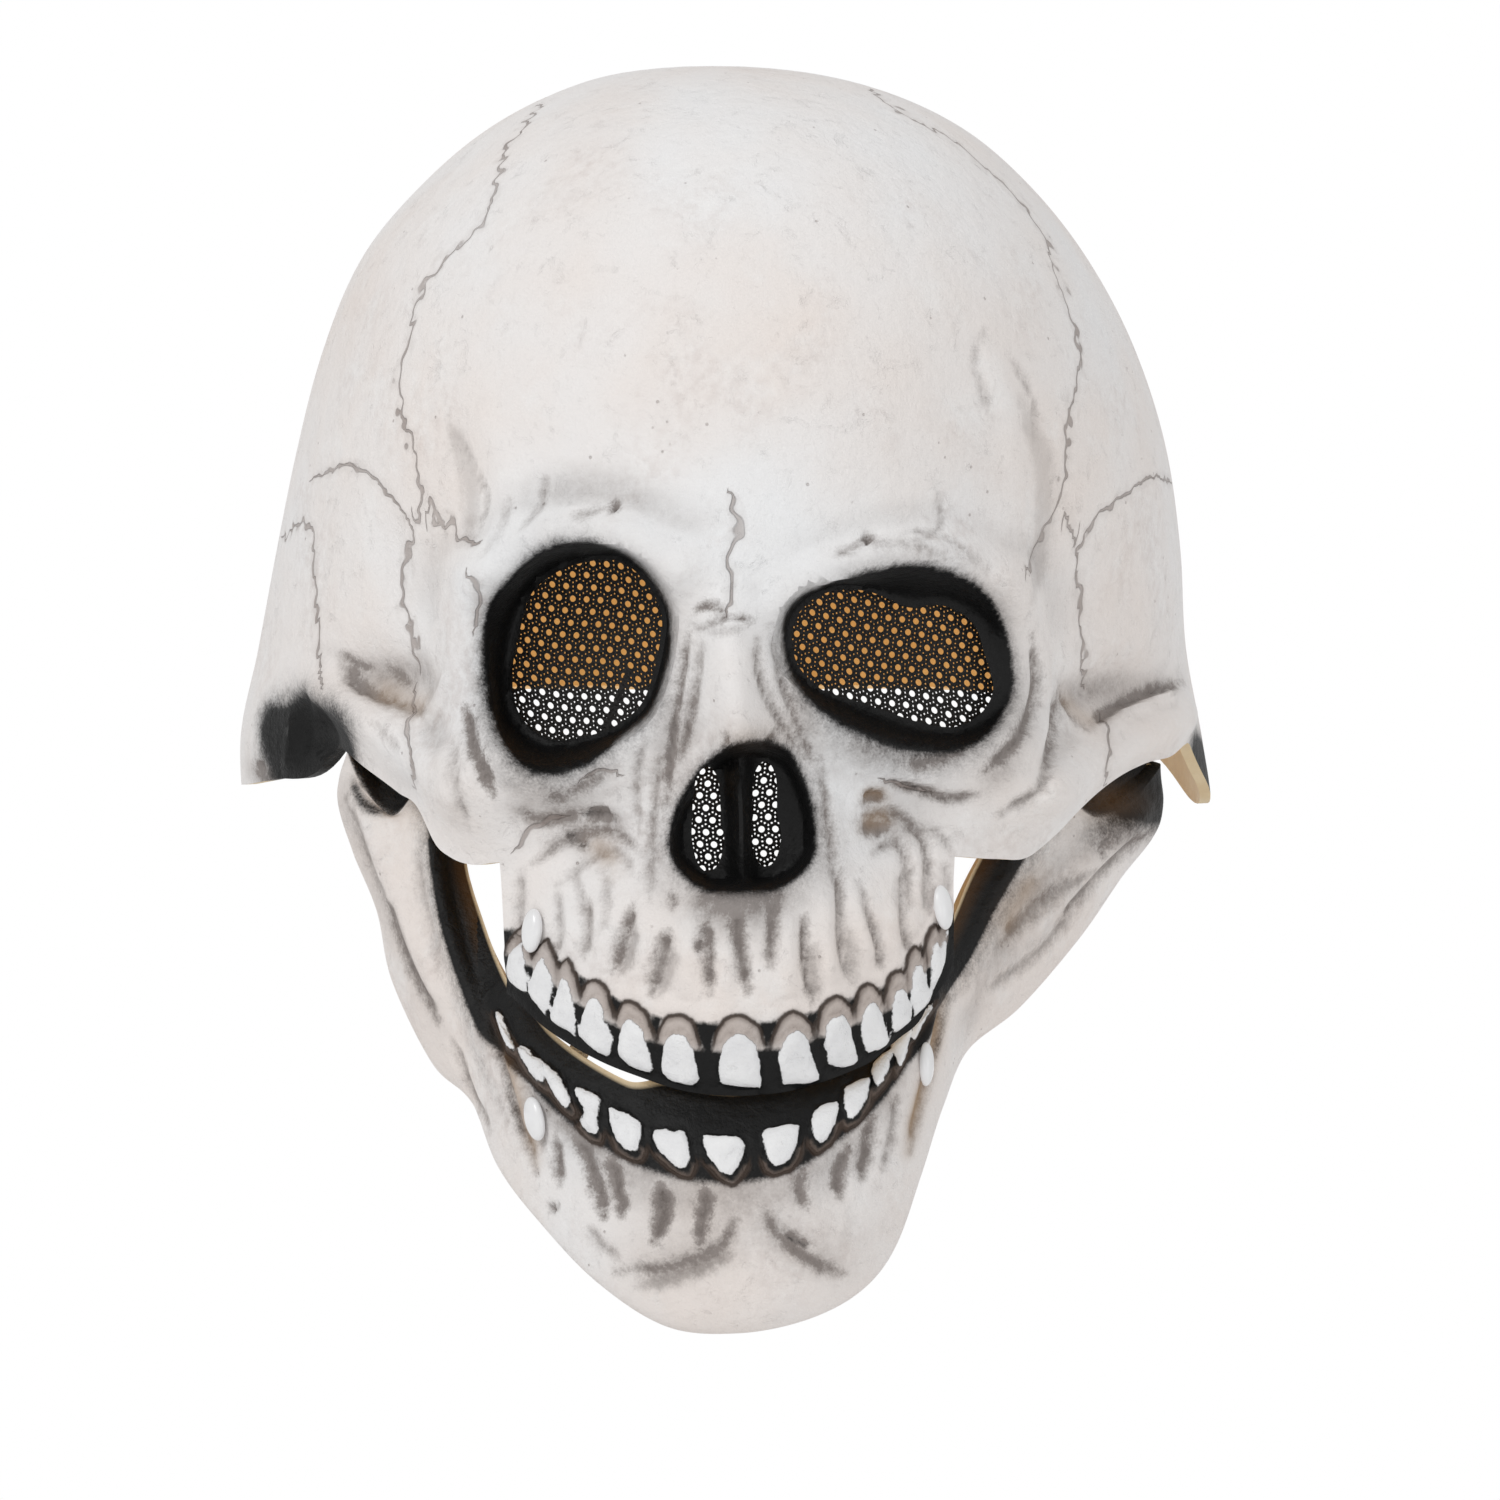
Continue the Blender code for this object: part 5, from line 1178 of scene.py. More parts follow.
def build_jaw(columns_step):
    """Dense jaw sheet with its relief and its fields of paint and painted shade."""
    along = np.linspace(0, len(JAW_SECTIONS) - 1, int(360 / columns_step / 1.6))
    across = np.linspace(0, 6, int(66 / columns_step / 1.6))
    grid = jaw_grid(along, across)
    rows, count = grid.shape[:2]

    # The rim curls in behind the upper teeth at the middle and stands free at the left
    curl = step(5.0, 6.0, across)[None, :]
    middle = (step(-22, -12, grid[..., 0]) * step(33, 22, grid[..., 0]) * (grid[..., 1] < -60)) * curl
    left = (step(-46, -38, grid[..., 0]) * step(-12, -22, grid[..., 0]) * (grid[..., 1] < -60)) * curl
    grid[..., 1] += 3.9 * middle
    grid[..., 2] += 2.6 * middle - 1.5 * left
    points = grid.reshape(-1, 3)
    index = np.arange(rows * count).reshape(rows, count)
    faces = [face[::-1] for face in grid_faces(rows, count)]
    place = np.broadcast_to(across, (rows, count)).ravel()

    # A thin recessed web closes the notch at the top of each ramus
    web = np.zeros(len(points))
    notch = np.nonzero((across > 0.45) & (across < 4.05))[0]
    for end, top in ((0, 137.5), (rows - 1, 139.5)):
        edge = index[end, notch]
        start = points[edge]
        chord = start[-1] - start[0]
        inward = np.array([-chord[1], chord[0], 0.0]) / np.linalg.norm(chord[:2])
        inward *= np.sign(inward[1])
        above = edge
        for share in np.linspace(0, 1, 9)[1:]:
            sink = 3.0 * step(0.0, 0.3, share)
            new = start + inward * sink
            new[:, 2] = (CROWN - top) * share + start[:, 2] * (1 - share)
            below = np.arange(len(points), len(points) + len(notch))
            points = np.vstack([points, new])
            for j in range(len(notch) - 1):
                face = (int(above[j]), int(above[j + 1]), int(below[j + 1]), int(below[j]))
                faces.append(face if end == 0 else face[::-1])
            above = below
            place = np.concatenate([place, across[notch]])
            web = np.concatenate([web, np.ones(len(notch))])
    web[index[0, notch]] = web[index[rows - 1, notch]] = 0.6
    edges = sheet_edges(faces)
    normals = point_normals(points, fan(faces))
    calm = smooth_field(normals, edges, 160)
    calm /= np.linalg.norm(calm, axis=1)[:, None]
    lean = np.clip((calm * smooth_field(normals, edges, 5)).sum(axis=1), 0.55, 1.0)[:, None]
    inner = points - calm * JAW_WALL * smooth_field(1.0 / lean, edges, 5)
    push, fields = jaw_paint(points, normals, edges, place, web)
    points = raise_relief(points, normals, edges, np.maximum(push, JAW_DEEPEST), fields)
    return points, inner, faces, fields, np.zeros(len(points), bool)


def build_net(opening, grow, lift, slant, cell, row, hole, thick):
    """Knit net panel behind an opening: staggered holes with rings of small ones in a thin cloth."""
    pitch = 0.27
    reach = max(opening.hole) + grow + 1
    n = int(2 * reach / pitch) + 1
    axis = np.linspace(-reach, reach, n)
    a, b = np.meshgrid(axis, axis, indexing="ij")
    x, drop = (opening.x + a).ravel(), (opening.drop + b).ravel()
    faces = grid_faces(n, n)
    rows = np.stack([x, drop], axis=1)

    def border(rows):
        away, turn = opening_place(opening, rows[:, 0], rows[:, 1])
        return ring(opening.hole, turn) + grow - away

    def knit(rows):
        x, drop = rows[:, 0] - opening.x, rows[:, 1] - opening.drop
        across = (x + 0.5 * np.sin(drop * 0.21 + opening.x)) / cell
        down = (drop - slant * x + 0.35 * np.sin(x * 0.27)) / row
        level = np.full(len(rows), 9.0)
        for dx, dy, size in KNIT:
            u, v = across - dx, down - dy
            u, v = (u - np.round(u)) * cell, (v - np.round(v)) * row
            level = np.minimum(level, np.hypot(u, v) - hole * size)
        crease = np.abs((x - NET_CREASE[0]) * 0.93 + (drop - NET_CREASE[1]) * 0.37)
        near = (crease < 0.45) & (np.abs(drop - NET_CREASE[1]) < 6) & (opening is SOCKETS[0])
        return np.where(near, 9.0, level)

    rows, faces = trim(rows, faces, border(rows))
    a, b, c = (np.column_stack([rows, np.zeros(len(rows))])[fan(faces)[:, k]] for k in range(3))
    area = 0.5 * np.linalg.norm(np.cross(b - a, c - a), axis=1).sum() * math.hypot(1, opening.slope)
    rows, faces = trim(rows, faces, np.where(border(rows) > 0.7, knit(rows), 9.0))
    lean = 1.0 / math.sqrt(1 + opening.slope ** 2)
    y = opening_floor(opening, rows[:, 0]) + (SKULL_WALL + GAP + lift) / lean
    strand = 0.16 * np.cos(rows[:, 0] * 5.1) * np.cos(rows[:, 1] * 4.4)
    points = np.stack([rows[:, 0], y + 0.5 - thick / 2 + strand, CROWN - rows[:, 1]], axis=1)
    normals = np.array([opening.slope * lean, lean, 0.0])
    return np.vstack([points, points + normals * thick]), wall_faces(faces, len(points)), area, rows


def jaw_lines(u):
    """The seven lines of the jaw sheet, from the rolled lip to the cut edge, at section place u."""
    names = Jaw._fields
    keys = np.arange(len(JAW_SECTIONS), dtype=float)
    value = {n: hermite(keys, [getattr(s, n) for s in JAW_SECTIONS], u) for n in names}
    look = np.radians(value["look"])
    out = np.stack([value["out_x"], value["out_y"], CROWN - value["out_drop"]], axis=-1)
    ridge = np.stack([value["ridge_x"], value["ridge_y"], CROWN - value["ridge_drop"]], axis=-1)
    edge = np.stack([value["edge_x"], value["edge_y"], CROWN - value["edge_drop"]], axis=-1)
    face = np.stack([np.sin(look), -np.cos(look), np.zeros_like(look)], axis=-1)
    belly, tuck, notch = (value[n][:, None] for n in ("belly", "tuck", "notch"))
    down = np.array([0.0, 0.0, -1.0])
    lip = out - face * tuck - down * 0.18 * tuck
    low = out * 0.68 + ridge * 0.32 + face * belly + down * notch * 0.75
    high = out * 0.33 + ridge * 0.67 + face * belly * 0.75 + down * notch
    band = ridge * 0.5 + edge * 0.5 + face * 0.4
    return np.stack([lip, out, low, high, ridge, band, edge])


def jaw_grid(along, across):
    """Points of the jaw's outer sheet, along the sections and across the lines."""
    lines = jaw_lines(np.asarray(along, float))
    keys = np.arange(lines.shape[0], dtype=float)
    grid = np.zeros((len(along), len(across), 3))
    for i in range(len(along)):
        for c in range(3):
            grid[i, :, c] = hermite(keys, lines[:, i, c], across)
    return grid


def stud_seats():
    """Place and outward direction of each stud on its shell."""
    seats = []
    for s in STUDS:
        target = np.array([s.x, CROWN - s.drop])
        if "upper" in s.name:
            turn = np.radians(np.linspace(-60, 60, 961))
            line = skull_surface(turn, np.full(961, s.drop))
            k = int(np.argmin(np.abs(line[:, 0] - s.x)))
            near = skull_surface(turn[k] + np.array([0, 0.06, 0, -0.06, 0]),
                                 s.drop + np.array([0, 0, 3.0, 0, -3.0]))
        else:
            u, v = np.meshgrid(np.linspace(4, 18, 281), np.linspace(2.0, 4.2, 45), indexing="ij")
            grid = jaw_grid(u[:, 0], v[0])
            away = np.hypot(grid[..., 0] - target[0], grid[..., 2] - target[1])
            i, j = np.unravel_index(np.argmin(away), away.shape)
            grid = jaw_grid(u[i, 0] + np.array([-0.3, 0, 0.3]), v[0, j] + np.array([-0.35, 0, 0.35]))
            near = np.array([grid[1, 1], grid[2, 1], grid[1, 0], grid[0, 1], grid[1, 2]])
        normal = np.cross(near[1] - near[3], near[2] - near[4])
        normal /= np.linalg.norm(normal)
        if normal[1] > 0:
            normal = -normal
        seats.append((near[0], normal))
    return seats


def stud_axes(normal, tilt):
    """Across and upright directions of a stud's oval head."""
    across = np.cross(normal, [0.0, 0.0, 1.0])
    across /= np.linalg.norm(across)
    upright = np.cross(across, normal)
    t = math.radians(tilt)
    return across * math.cos(t) + upright * math.sin(t), upright * math.cos(t) - across * math.sin(t)


def oval(centre, axes, wide, tall, count, power=2.0):
    """Points of an oval about a centre, across two axes."""
    t = np.arange(count) * 2 * math.pi / count
    c = np.sign(np.cos(t)) * np.abs(np.cos(t)) ** (2 / power)
    s = np.sign(np.sin(t)) * np.abs(np.sin(t)) ** (2 / power)
    return centre + np.outer(c * wide, axes[0]) + np.outer(s * tall, axes[1])


def loft(rings, caps):
    """Points and faces of a closed body through equal rings, closed by a point at each end."""
    count = len(rings[0])
    points = [caps[0]] + [p for r in rings for p in r] + [caps[1]]
    last = len(points) - 1
    faces = [(0, 1 + (i + 1) % count, 1 + i) for i in range(count)]
    for k in range(len(rings) - 1):
        a, b = 1 + k * count, 1 + (k + 1) * count
        faces += [(a + i, a + (i + 1) % count, b + (i + 1) % count, b + i) for i in range(count)]
    a = 1 + (len(rings) - 1) * count
    faces += [(last, a + i, a + (i + 1) % count) for i in range(count)]
    return np.array(points), faces


def build_stud(stud, seat, normal, wall):
    """Domed oval head with a rolled edge, its shank and its washer inside."""
    axes = stud_axes(normal, stud.tilt)
    base = seat + normal * 0.7
    inside = base - normal * (0.7 + wall + 0.5 * STRAP_SPACE + 1.1)
    dome = [(0.12, 1.9), (0.25, 1.88), (0.4, 1.82), (0.55, 1.72), (0.7, 1.56), (0.83, 1.33), (0.93, 1.05),
            (0.985, 0.72), (1.0, 0.4), (0.98, 0.12), (0.93, 0.0)]
    rings = [oval(base + normal * up, axes, stud.wide * size, stud.tall * size, 40) for size, up in dome]
    rings += [oval(base, axes, 1.2, 1.2, 40), oval(inside, axes, 1.2, 1.2, 40)]
    rings += [oval(inside - normal * d, axes, 2.0 * s, 2.6 * s, 40)
              for d, s in ((0.0, 0.92), (0.12, 1.0), (0.6, 1.0), (0.75, 0.9), (0.8, 0.6))]
    return loft(rings, (base + normal * 1.9, inside - normal * 0.8))


def build_strap(upper, lower):
    """Flat elastic band inside, with ribs along it, from the upper stud to the lower one."""
    back = SKULL_WALL + 0.5 * STRAP_SPACE
    ends = []
    for seat, normal in (upper, lower):
        fall = stud_axes(normal, 0)[1]
        past = (4.2, -3.2) if seat is upper[0] else (3.2, -4.2)
        ends += [seat - normal * back + fall * side for side in past]
    middle = 0.5 * (ends[1] + ends[2]) - (upper[1] + lower[1]) * 0.5 * STRAP_BOW
    path = np.array([ends[0], ends[1], 0.3 * ends[1] + 0.7 * middle, middle, 0.3 * ends[2] + 0.7 * middle,
                     ends[2], ends[3]])
    share = np.array([0, 0, 0.3, 0.5, 0.7, 1, 1])[:, None]
    normal = upper[1] * (1 - share) + lower[1] * share
    keys = np.arange(7.0)
    fine = np.linspace(0, 6, 61)
    path = np.stack([np.interp(fine, keys, path[:, c]) for c in range(3)], axis=1)
    normal = np.stack([np.interp(fine, keys, normal[:, c]) for c in range(3)], axis=1)
    for _ in range(6):
        path[1:-1] = 0.25 * path[:-2] + 0.5 * path[1:-1] + 0.25 * path[2:]
    along = np.gradient(path, axis=0)
    across = np.cross(normal, along)
    across /= np.linalg.norm(across, axis=1)[:, None]
    normal = np.cross(along, across)
    normal /= np.linalg.norm(normal, axis=1)[:, None]
    t = np.arange(56) * 2 * math.pi / 56
    w = 3.6 * np.sign(np.cos(t)) * np.abs(np.cos(t)) ** 0.35
    ribs = 0.5 + 0.07 * np.cos(w * 2 * math.pi / 0.9)
    h = ribs * np.sign(np.sin(t)) * np.abs(np.sin(t)) ** 0.5
    rings = [path[i] + np.outer(w, across[i]) + np.outer(h, normal[i]) for i in range(len(path))]
    return loft(rings, (path[0], path[-1]))


class Finish:
    """A node material in the making."""

    def __init__(self, name):
        self.material = bpy.data.materials.new(name)
        self.material.use_nodes = True
        self.tree = self.material.node_tree
        self.shader = self.tree.nodes["Principled BSDF"]
        self.place = self.tree.nodes.new("ShaderNodeTexCoord").outputs["Object"]

    def join(self, value, socket):
        """Link an output to a socket, or set the socket to a plain value."""
        if isinstance(value, bpy.types.NodeSocket):
            self.tree.links.new(value, socket)
        elif value is not None:
            socket.default_value = value

    def math(self, kind, a, b=None, clamp=False):
        """One sum of one or two values."""
        node = self.tree.nodes.new("ShaderNodeMath")
        node.operation = kind
        node.use_clamp = clamp
        for value, socket in zip((a, b), node.inputs):
            self.join(value, socket)
        return node.outputs[0]

    def times(self, a, b, **more):
        """Product of two values."""
        return self.math("MULTIPLY", a, b, **more)

    def plus(self, a, b, **more):
        """Sum of two values."""
        return self.math("ADD", a, b, **more)

    def minus(self, a, b, **more):
        """Difference of two values."""
        return self.math("SUBTRACT", a, b, **more)

    def swing(self, value, reach):
        """A value round a half, turned into one round nought."""
        return self.times(self.minus(value, 0.5), reach)

    def field(self, name):
        """A field that the mesh carries at its points."""
        node = self.tree.nodes.new("ShaderNodeAttribute")
        node.attribute_name = name
        return node.outputs["Fac"]

    def noise(self, scale, detail=2.0, rough=0.5, twist=0.0):
        """Soft noise in the object's own space."""
        node = self.tree.nodes.new("ShaderNodeTexNoise")
        self.join(self.place, node.inputs["Vector"])
        node.inputs["Scale"].default_value = scale
        node.inputs["Detail"].default_value = detail
        node.inputs["Roughness"].default_value = rough
        node.inputs["Distortion"].default_value = twist
        return node.outputs["Fac"]

    def cells(self, scale):
        """Distance to scattered points, and each point's own random value."""
        node = self.tree.nodes.new("ShaderNodeTexVoronoi")
        self.join(self.place, node.inputs["Vector"])
        node.inputs["Scale"].default_value = scale
        return node.outputs["Distance"], node.outputs["Color"]

    def rise(self, value, low, high):
        """Smooth step from 0 at low to 1 at high."""
        node = self.tree.nodes.new("ShaderNodeMapRange")
        node.interpolation_type = "SMOOTHSTEP"
        for v, socket in zip((value, low, high, 0.0, 1.0), node.inputs):
            self.join(v, socket)
        return node.outputs[0]

    def mix(self, share, a, b):
        """Mix two colours."""
        node = self.tree.nodes.new("ShaderNodeMix")
        node.data_type = "RGBA"
        self.join(share, node.inputs[0])
        self.join(a if isinstance(a, bpy.types.NodeSocket) else (*a, 1.0), node.inputs[6])
        self.join(b if isinstance(b, bpy.types.NodeSocket) else (*b, 1.0), node.inputs[7])
        return node.outputs[2]

    def bump(self, height, depth):
        """Fine relief in metres."""
        node = self.tree.nodes.new("ShaderNodeBump")
        node.inputs["Strength"].default_value = 1.0
        node.inputs["Distance"].default_value = depth
        self.join(height, node.inputs["Height"])
        return node.outputs[0]

    def done(self, colour, rough, normal=None, **plain):
        """Join the colour, roughness and relief, and set the plain sockets."""
        self.join(colour, self.shader.inputs["Base Color"])
        self.join(rough, self.shader.inputs["Roughness"])
        if normal is not None:
            self.join(normal, self.shader.inputs["Normal"])
        for name, value in plain.items():
            self.shader.inputs[name.replace("_", " ")].default_value = value
        return self.material


def paint_finish(name, bone_cool, bone_warm, wash_and_shade_colour, black_colour):
    """Airbrushed bone paint over latex, with wash and painted shade, seams, black and painted teeth from the
    fields.
    """
    f = Finish(name)
    big = f.noise(26, 3)
    mid = f.noise(105, 5, 0.6)
    small = f.noise(420, 4, 0.6)
    grain = f.noise(1900, 3, 0.65)
    warm = f.plus(f.field("warm"), f.swing(big, 1.8), clamp=True)
    colour = f.mix(warm, bone_cool, bone_warm)
    cloud = f.noise(34, 5, 0.65)
    blotch = f.times(f.rise(cloud, 0.46, 0.72), f.rise(small, 0.36, 0.68))
    colour = f.mix(f.times(blotch, 0.34), colour, (0.55, 0.47, 0.44))
    pale = f.times(f.rise(f.noise(70, 5, 0.65), 0.5, 0.75), 0.5)
    colour = f.mix(pale, colour, (0.89, 0.88, 0.87))
    dots, spread = f.cells(210)
    dot = f.times(f.rise(dots, 0.085, 0.03), f.rise(spread, 0.55, 0.62))
    colour = f.mix(f.times(dot, 0.5), colour, (0.36, 0.30, 0.27))
    scuff = f.noise(190, 5, 0.7, twist=0.5)
    scuffed = f.times(f.rise(scuff, 0.62, 0.74), f.rise(cloud, 0.42, 0.6))
    colour = f.mix(f.times(scuffed, 0.16), colour, (0.42, 0.36, 0.34))

    # Grey-brown wash and painted shade, darker in the hollows, the grooves and under the teeth
    patchy = f.plus(0.1, f.plus(f.times(small, 1.0), f.times(grain, 0.7)))
    wash = f.times(f.field("wash"), patchy, clamp=True)
    ragged = f.plus(f.swing(small, 2.3),
                    f.swing(grain, 2.0))
    mark = f.rise(f.plus(f.field("mark"), ragged), -1.1, 1.25)
    worn = f.plus(0.55, f.times(mid, 1.05))
    mark = f.times(mark, f.times(f.field("mark_amount"), worn), clamp=True)
    wash = f.plus(wash, mark, clamp=True)
    colour = f.mix(f.times(wash, 0.85), colour, wash_and_shade_colour)
    core = f.times(f.rise(f.plus(f.field("mark"), ragged), 0.1, 2.0), mark)
    colour = f.mix(f.times(core, 0.62), colour, (0.10, 0.08, 0.07))
    tan = f.times(f.field("tan"), f.plus(0.5, mid), clamp=True)
    colour = f.mix(tan, colour, (0.33, 0.20, 0.09))

    # Jagged seams between the bones
    wiggle = f.minus(f.noise(310, 0.0), 0.5)
    slow = f.minus(f.noise(120, 0.0), 0.5)
    wiggle = f.plus(wiggle, f.times(slow, 0.3))
    sway = f.times(wiggle, f.times(f.field("jagged"), 4.6))
    offset = f.math("ABSOLUTE", f.plus(f.field("seam"), sway))
    near = f.rise(f.field("seam_near"), 2.6, 1.9)
    cut = f.times(f.rise(offset, 0.6, 0.18), near)
    lip = f.times(f.rise(offset, 2.0, 0.6), near)
    faded = f.plus(0.2, f.times(f.noise(60, 3), 0.9), clamp=True)
    colour = f.mix(f.times(cut, faded), colour, (0.27, 0.22, 0.20))
    colour = f.mix(f.times(lip, 0.14), colour, (0.4, 0.35, 0.32))

    # Airbrushed black with a grainy edge
    amount = f.field("black")
    edge = f.times(amount, f.minus(1.15, amount, clamp=True))
    speck = f.plus(f.swing(grain, 1.9),
                   f.swing(small, 1.2))
    spray = f.plus(amount, f.times(speck, edge))
    black = f.rise(spray, 0.02, 0.85)
    browned = f.mix(f.times(f.field("tan"), 0.85, clamp=True), black_colour, (0.10, 0.05, 0.018))
    colour = f.mix(black, colour, browned)

    # Gum arches round the teeth, and the black between them
    gum = f.plus(f.field("gum"), f.swing(small, 0.7))
    shown = f.field("gum_shown")
    gum_fill = f.times(f.times(f.rise(gum, -0.3, 0.3), shown), 0.42)
    colour = f.mix(gum_fill, colour, (0.36, 0.28, 0.235))
    gum_side = f.times(f.times(f.rise(gum, 1.35, 0.1), f.rise(gum, -0.9, 0.0)), shown)
    colour = f.mix(f.times(gum_side, 0.62), colour, (0.09, 0.06, 0.045))
    gum_line = f.times(f.rise(f.math("ABSOLUTE", gum), 0.5, 0.08), shown)
    band = f.rise(f.plus(f.field("band"), f.swing(small, 1.6)), -0.5, 0.6)
    colour = f.mix(band, colour, black_colour)
    colour = f.mix(f.times(gum_line, 0.88), colour, (0.045, 0.03, 0.022))
    black = f.math("MAXIMUM", black, band)
    colour = f.mix(f.field("raw"), colour, (0.72, 0.58, 0.38))

    # White enamel of the teeth with ragged edges
    ragged = f.times(f.minus(f.noise(520, 3, 0.6), 0.5), 1.1)
    enamel = f.rise(f.plus(f.field("tooth"), ragged), -0.12, 0.1)
    colour = f.mix(enamel, colour, f.mix(f.rise(mid, 0.3, 0.8), (0.80, 0.80, 0.81), (0.90, 0.90, 0.90)))

    rough = f.plus(0.5, f.times(small, 0.2))
    rough = f.minus(rough, f.times(black, 0.12))
    rough = f.minus(rough, f.times(enamel, 0.14))
    skin = f.plus(f.times(small, 0.9), f.times(grain, 0.3))
    skin = f.minus(skin, f.times(f.rise(scuff, 0.55, 0.75), 0.6))
    skin = f.plus(skin, f.plus(f.times(mid, 1.7), f.times(big, 2.6)))
    skin = f.minus(skin, f.times(cut, 1.1))
    skin = f.minus(skin, f.times(gum_line, 0.9))
    skin = f.minus(skin, f.times(dot, 0.6))
    skin = f.plus(skin, f.times(enamel, 0.9))
    return f.done(colour, rough, f.bump(skin, 0.00035), Specular_IOR_Level=0.22)


def lining_finish(name, glow):
    """Bare latex of the inside and the cut edges: cream at the rims, browned far inside by painted shade,
    with a painted glow there for light through the thin latex.
    """
    f = Finish(name)
    mid = f.noise(70, 5, 0.6)
    small = f.noise(500, 4, 0.6)
    apart = f.tree.nodes.new("ShaderNodeSeparateXYZ")
    f.join(f.place, apart.inputs[0])
    # Far inside: painted shade makes the latex browner, and a painted glow lights it
    deep_shade_and_glow = f.times(f.rise(apart.outputs["Y"], 0.0, 0.045), f.rise(apart.outputs["Z"], -0.139, -0.129))
    cream = f.mix(f.rise(mid, 0.3, 0.75), (0.76, 0.62, 0.40), (0.66, 0.50, 0.29))
    brown = f.mix(f.rise(mid, 0.3, 0.75), (0.70, 0.47, 0.22), (0.56, 0.34, 0.14))
    colour = f.mix(deep_shade_and_glow, cream, brown)
    colour = f.mix(f.times(f.rise(small, 0.5, 0.8), 0.3), colour, (0.80, 0.66, 0.44))
    # Black paint and painted shade on the bare latex under the left arch
    colour = f.mix(f.rise(f.field("soot"), 0.2, 0.8), colour, (0.012, 0.010, 0.009))
    rough = f.plus(0.42, f.times(small, 0.2))
    relief = f.plus(f.times(mid, 1.4), f.times(small, 0.4))
    # Painted glow: emission stands in for light that comes through the thin latex
    f.join(f.times(deep_shade_and_glow, glow), f.shader.inputs["Emission Strength"])
    return f.done(colour, rough, f.bump(relief, 0.0005), Emission_Color=(0.85, 0.46, 0.13, 1))


def net_finish(name):
    """Black knit polyester."""
    f = Finish(name)
    knots, _ = f.cells(1900)
    fuzz = f.noise(3600, 3, 0.7)
    colour = f.mix(f.rise(f.plus(knots, f.times(fuzz, 0.5)), 0.3, 0.95), (0.003, 0.003, 0.003),
                   (0.02, 0.018, 0.017))
    return f.done(colour, f.plus(0.5, f.times(fuzz, 0.3)), f.bump(knots, 0.0002),
                  Specular_IOR_Level=0.3)


def stud_finish(name, tone):
    """Glossy moulded plastic with faint handling marks."""
    f = Finish(name)
    marks = f.noise(900, 4, 0.7, twist=0.6)
    cloud = f.noise(160, 3)
    colour = f.mix(f.rise(cloud, 0.3, 0.8), tone, tuple(c * 0.95 for c in tone))
    rough = f.plus(0.2, f.times(f.rise(marks, 0.5, 0.8), 0.14))
    return f.done(colour, rough, f.bump(marks, 0.00002), Coat_Weight=0.25)


def elastic_finish(name):
    """White braided elastic."""
    f = Finish(name)
    place = f.tree.nodes.new("ShaderNodeTexWave")
    f.join(f.place, place.inputs["Vector"])
    place.bands_direction = "Z"
    place.inputs["Scale"].default_value = 420
    place.inputs["Distortion"].default_value = 1.2
    fuzz = f.noise(2400, 3, 0.7)
    weave = f.plus(place.outputs["Fac"], f.times(fuzz, 0.6))
    colour = f.mix(f.rise(weave, 0.3, 1.3), (0.52, 0.50, 0.46), (0.82, 0.81, 0.78))
    return f.done(colour, 0.75, f.bump(weave, 0.00025), Sheen_Weight=0.3)


def floor_finish(name, tone, reach):
    """Pale floor that runs out into the plain light of the room."""
    f = Finish(name)
    spots = f.noise(3.0, 3)
    base = f.mix(f.rise(spots, 0.2, 0.8), tone, tuple(min(1.0, c * 1.01) for c in tone))
    f.done(base, 0.8)
    away = f.tree.nodes.new("ShaderNodeVectorMath")
    away.operation = "LENGTH"
    f.join(f.place, away.inputs[0])
    far = f.rise(away.outputs["Value"], reach * 0.35, reach)
    light = f.tree.nodes.new("ShaderNodeEmission")
    light.inputs["Color"].default_value = (1, 1, 1, 1)
    blend = f.tree.nodes.new("ShaderNodeMixShader")
    f.join(far, blend.inputs[0])
    f.join(f.shader.outputs[0], blend.inputs[1])
    f.join(light.outputs[0], blend.inputs[2])
    f.join(blend.outputs[0], f.tree.nodes["Material Output"].inputs["Surface"])
    return f.material


class MaskPaint(bpy.types.PropertyGroup):
    """Colours and fineness of the two painted castings."""

    bone_cool: bpy.props.FloatVectorProperty(
        name="Cool bone", description="Bone paint round the sockets and on the brow", subtype="COLOR",
        size=3, min=0, max=1, default=(0.86, 0.86, 0.865))
    bone_warm: bpy.props.FloatVectorProperty(
        name="Warm bone", description="Bone paint on the sides, the upper jaw and the chin", subtype="COLOR",
        size=3, min=0, max=1, default=(0.84, 0.775, 0.735))
    # Colour of the wash, which also paints the shade in the hollows, the grooves and under the teeth
    wash: bpy.props.FloatVectorProperty(
        name="Wash", description="Thin dark paint that settles in folds", subtype="COLOR",
        size=3, min=0, max=1, default=(0.20, 0.17, 0.155))
    black: bpy.props.FloatVectorProperty(
        name="Black", description="Airbrushed paint of sockets, nose and tooth band", subtype="COLOR",
        size=3, min=0, max=1, default=(0.006, 0.006, 0.006))
    columns_step: bpy.props.FloatProperty(
        name="Column step", description="Angle between the columns of the face in degrees",
        min=0.4, max=3, default=0.62)
    # Strength of the painted glow of the inside, for light that comes through the thin latex
    glow: bpy.props.FloatProperty(
        name="Inside glow", description="Light that comes through the thin latex to its inside",
        min=0, max=2, default=0.3)


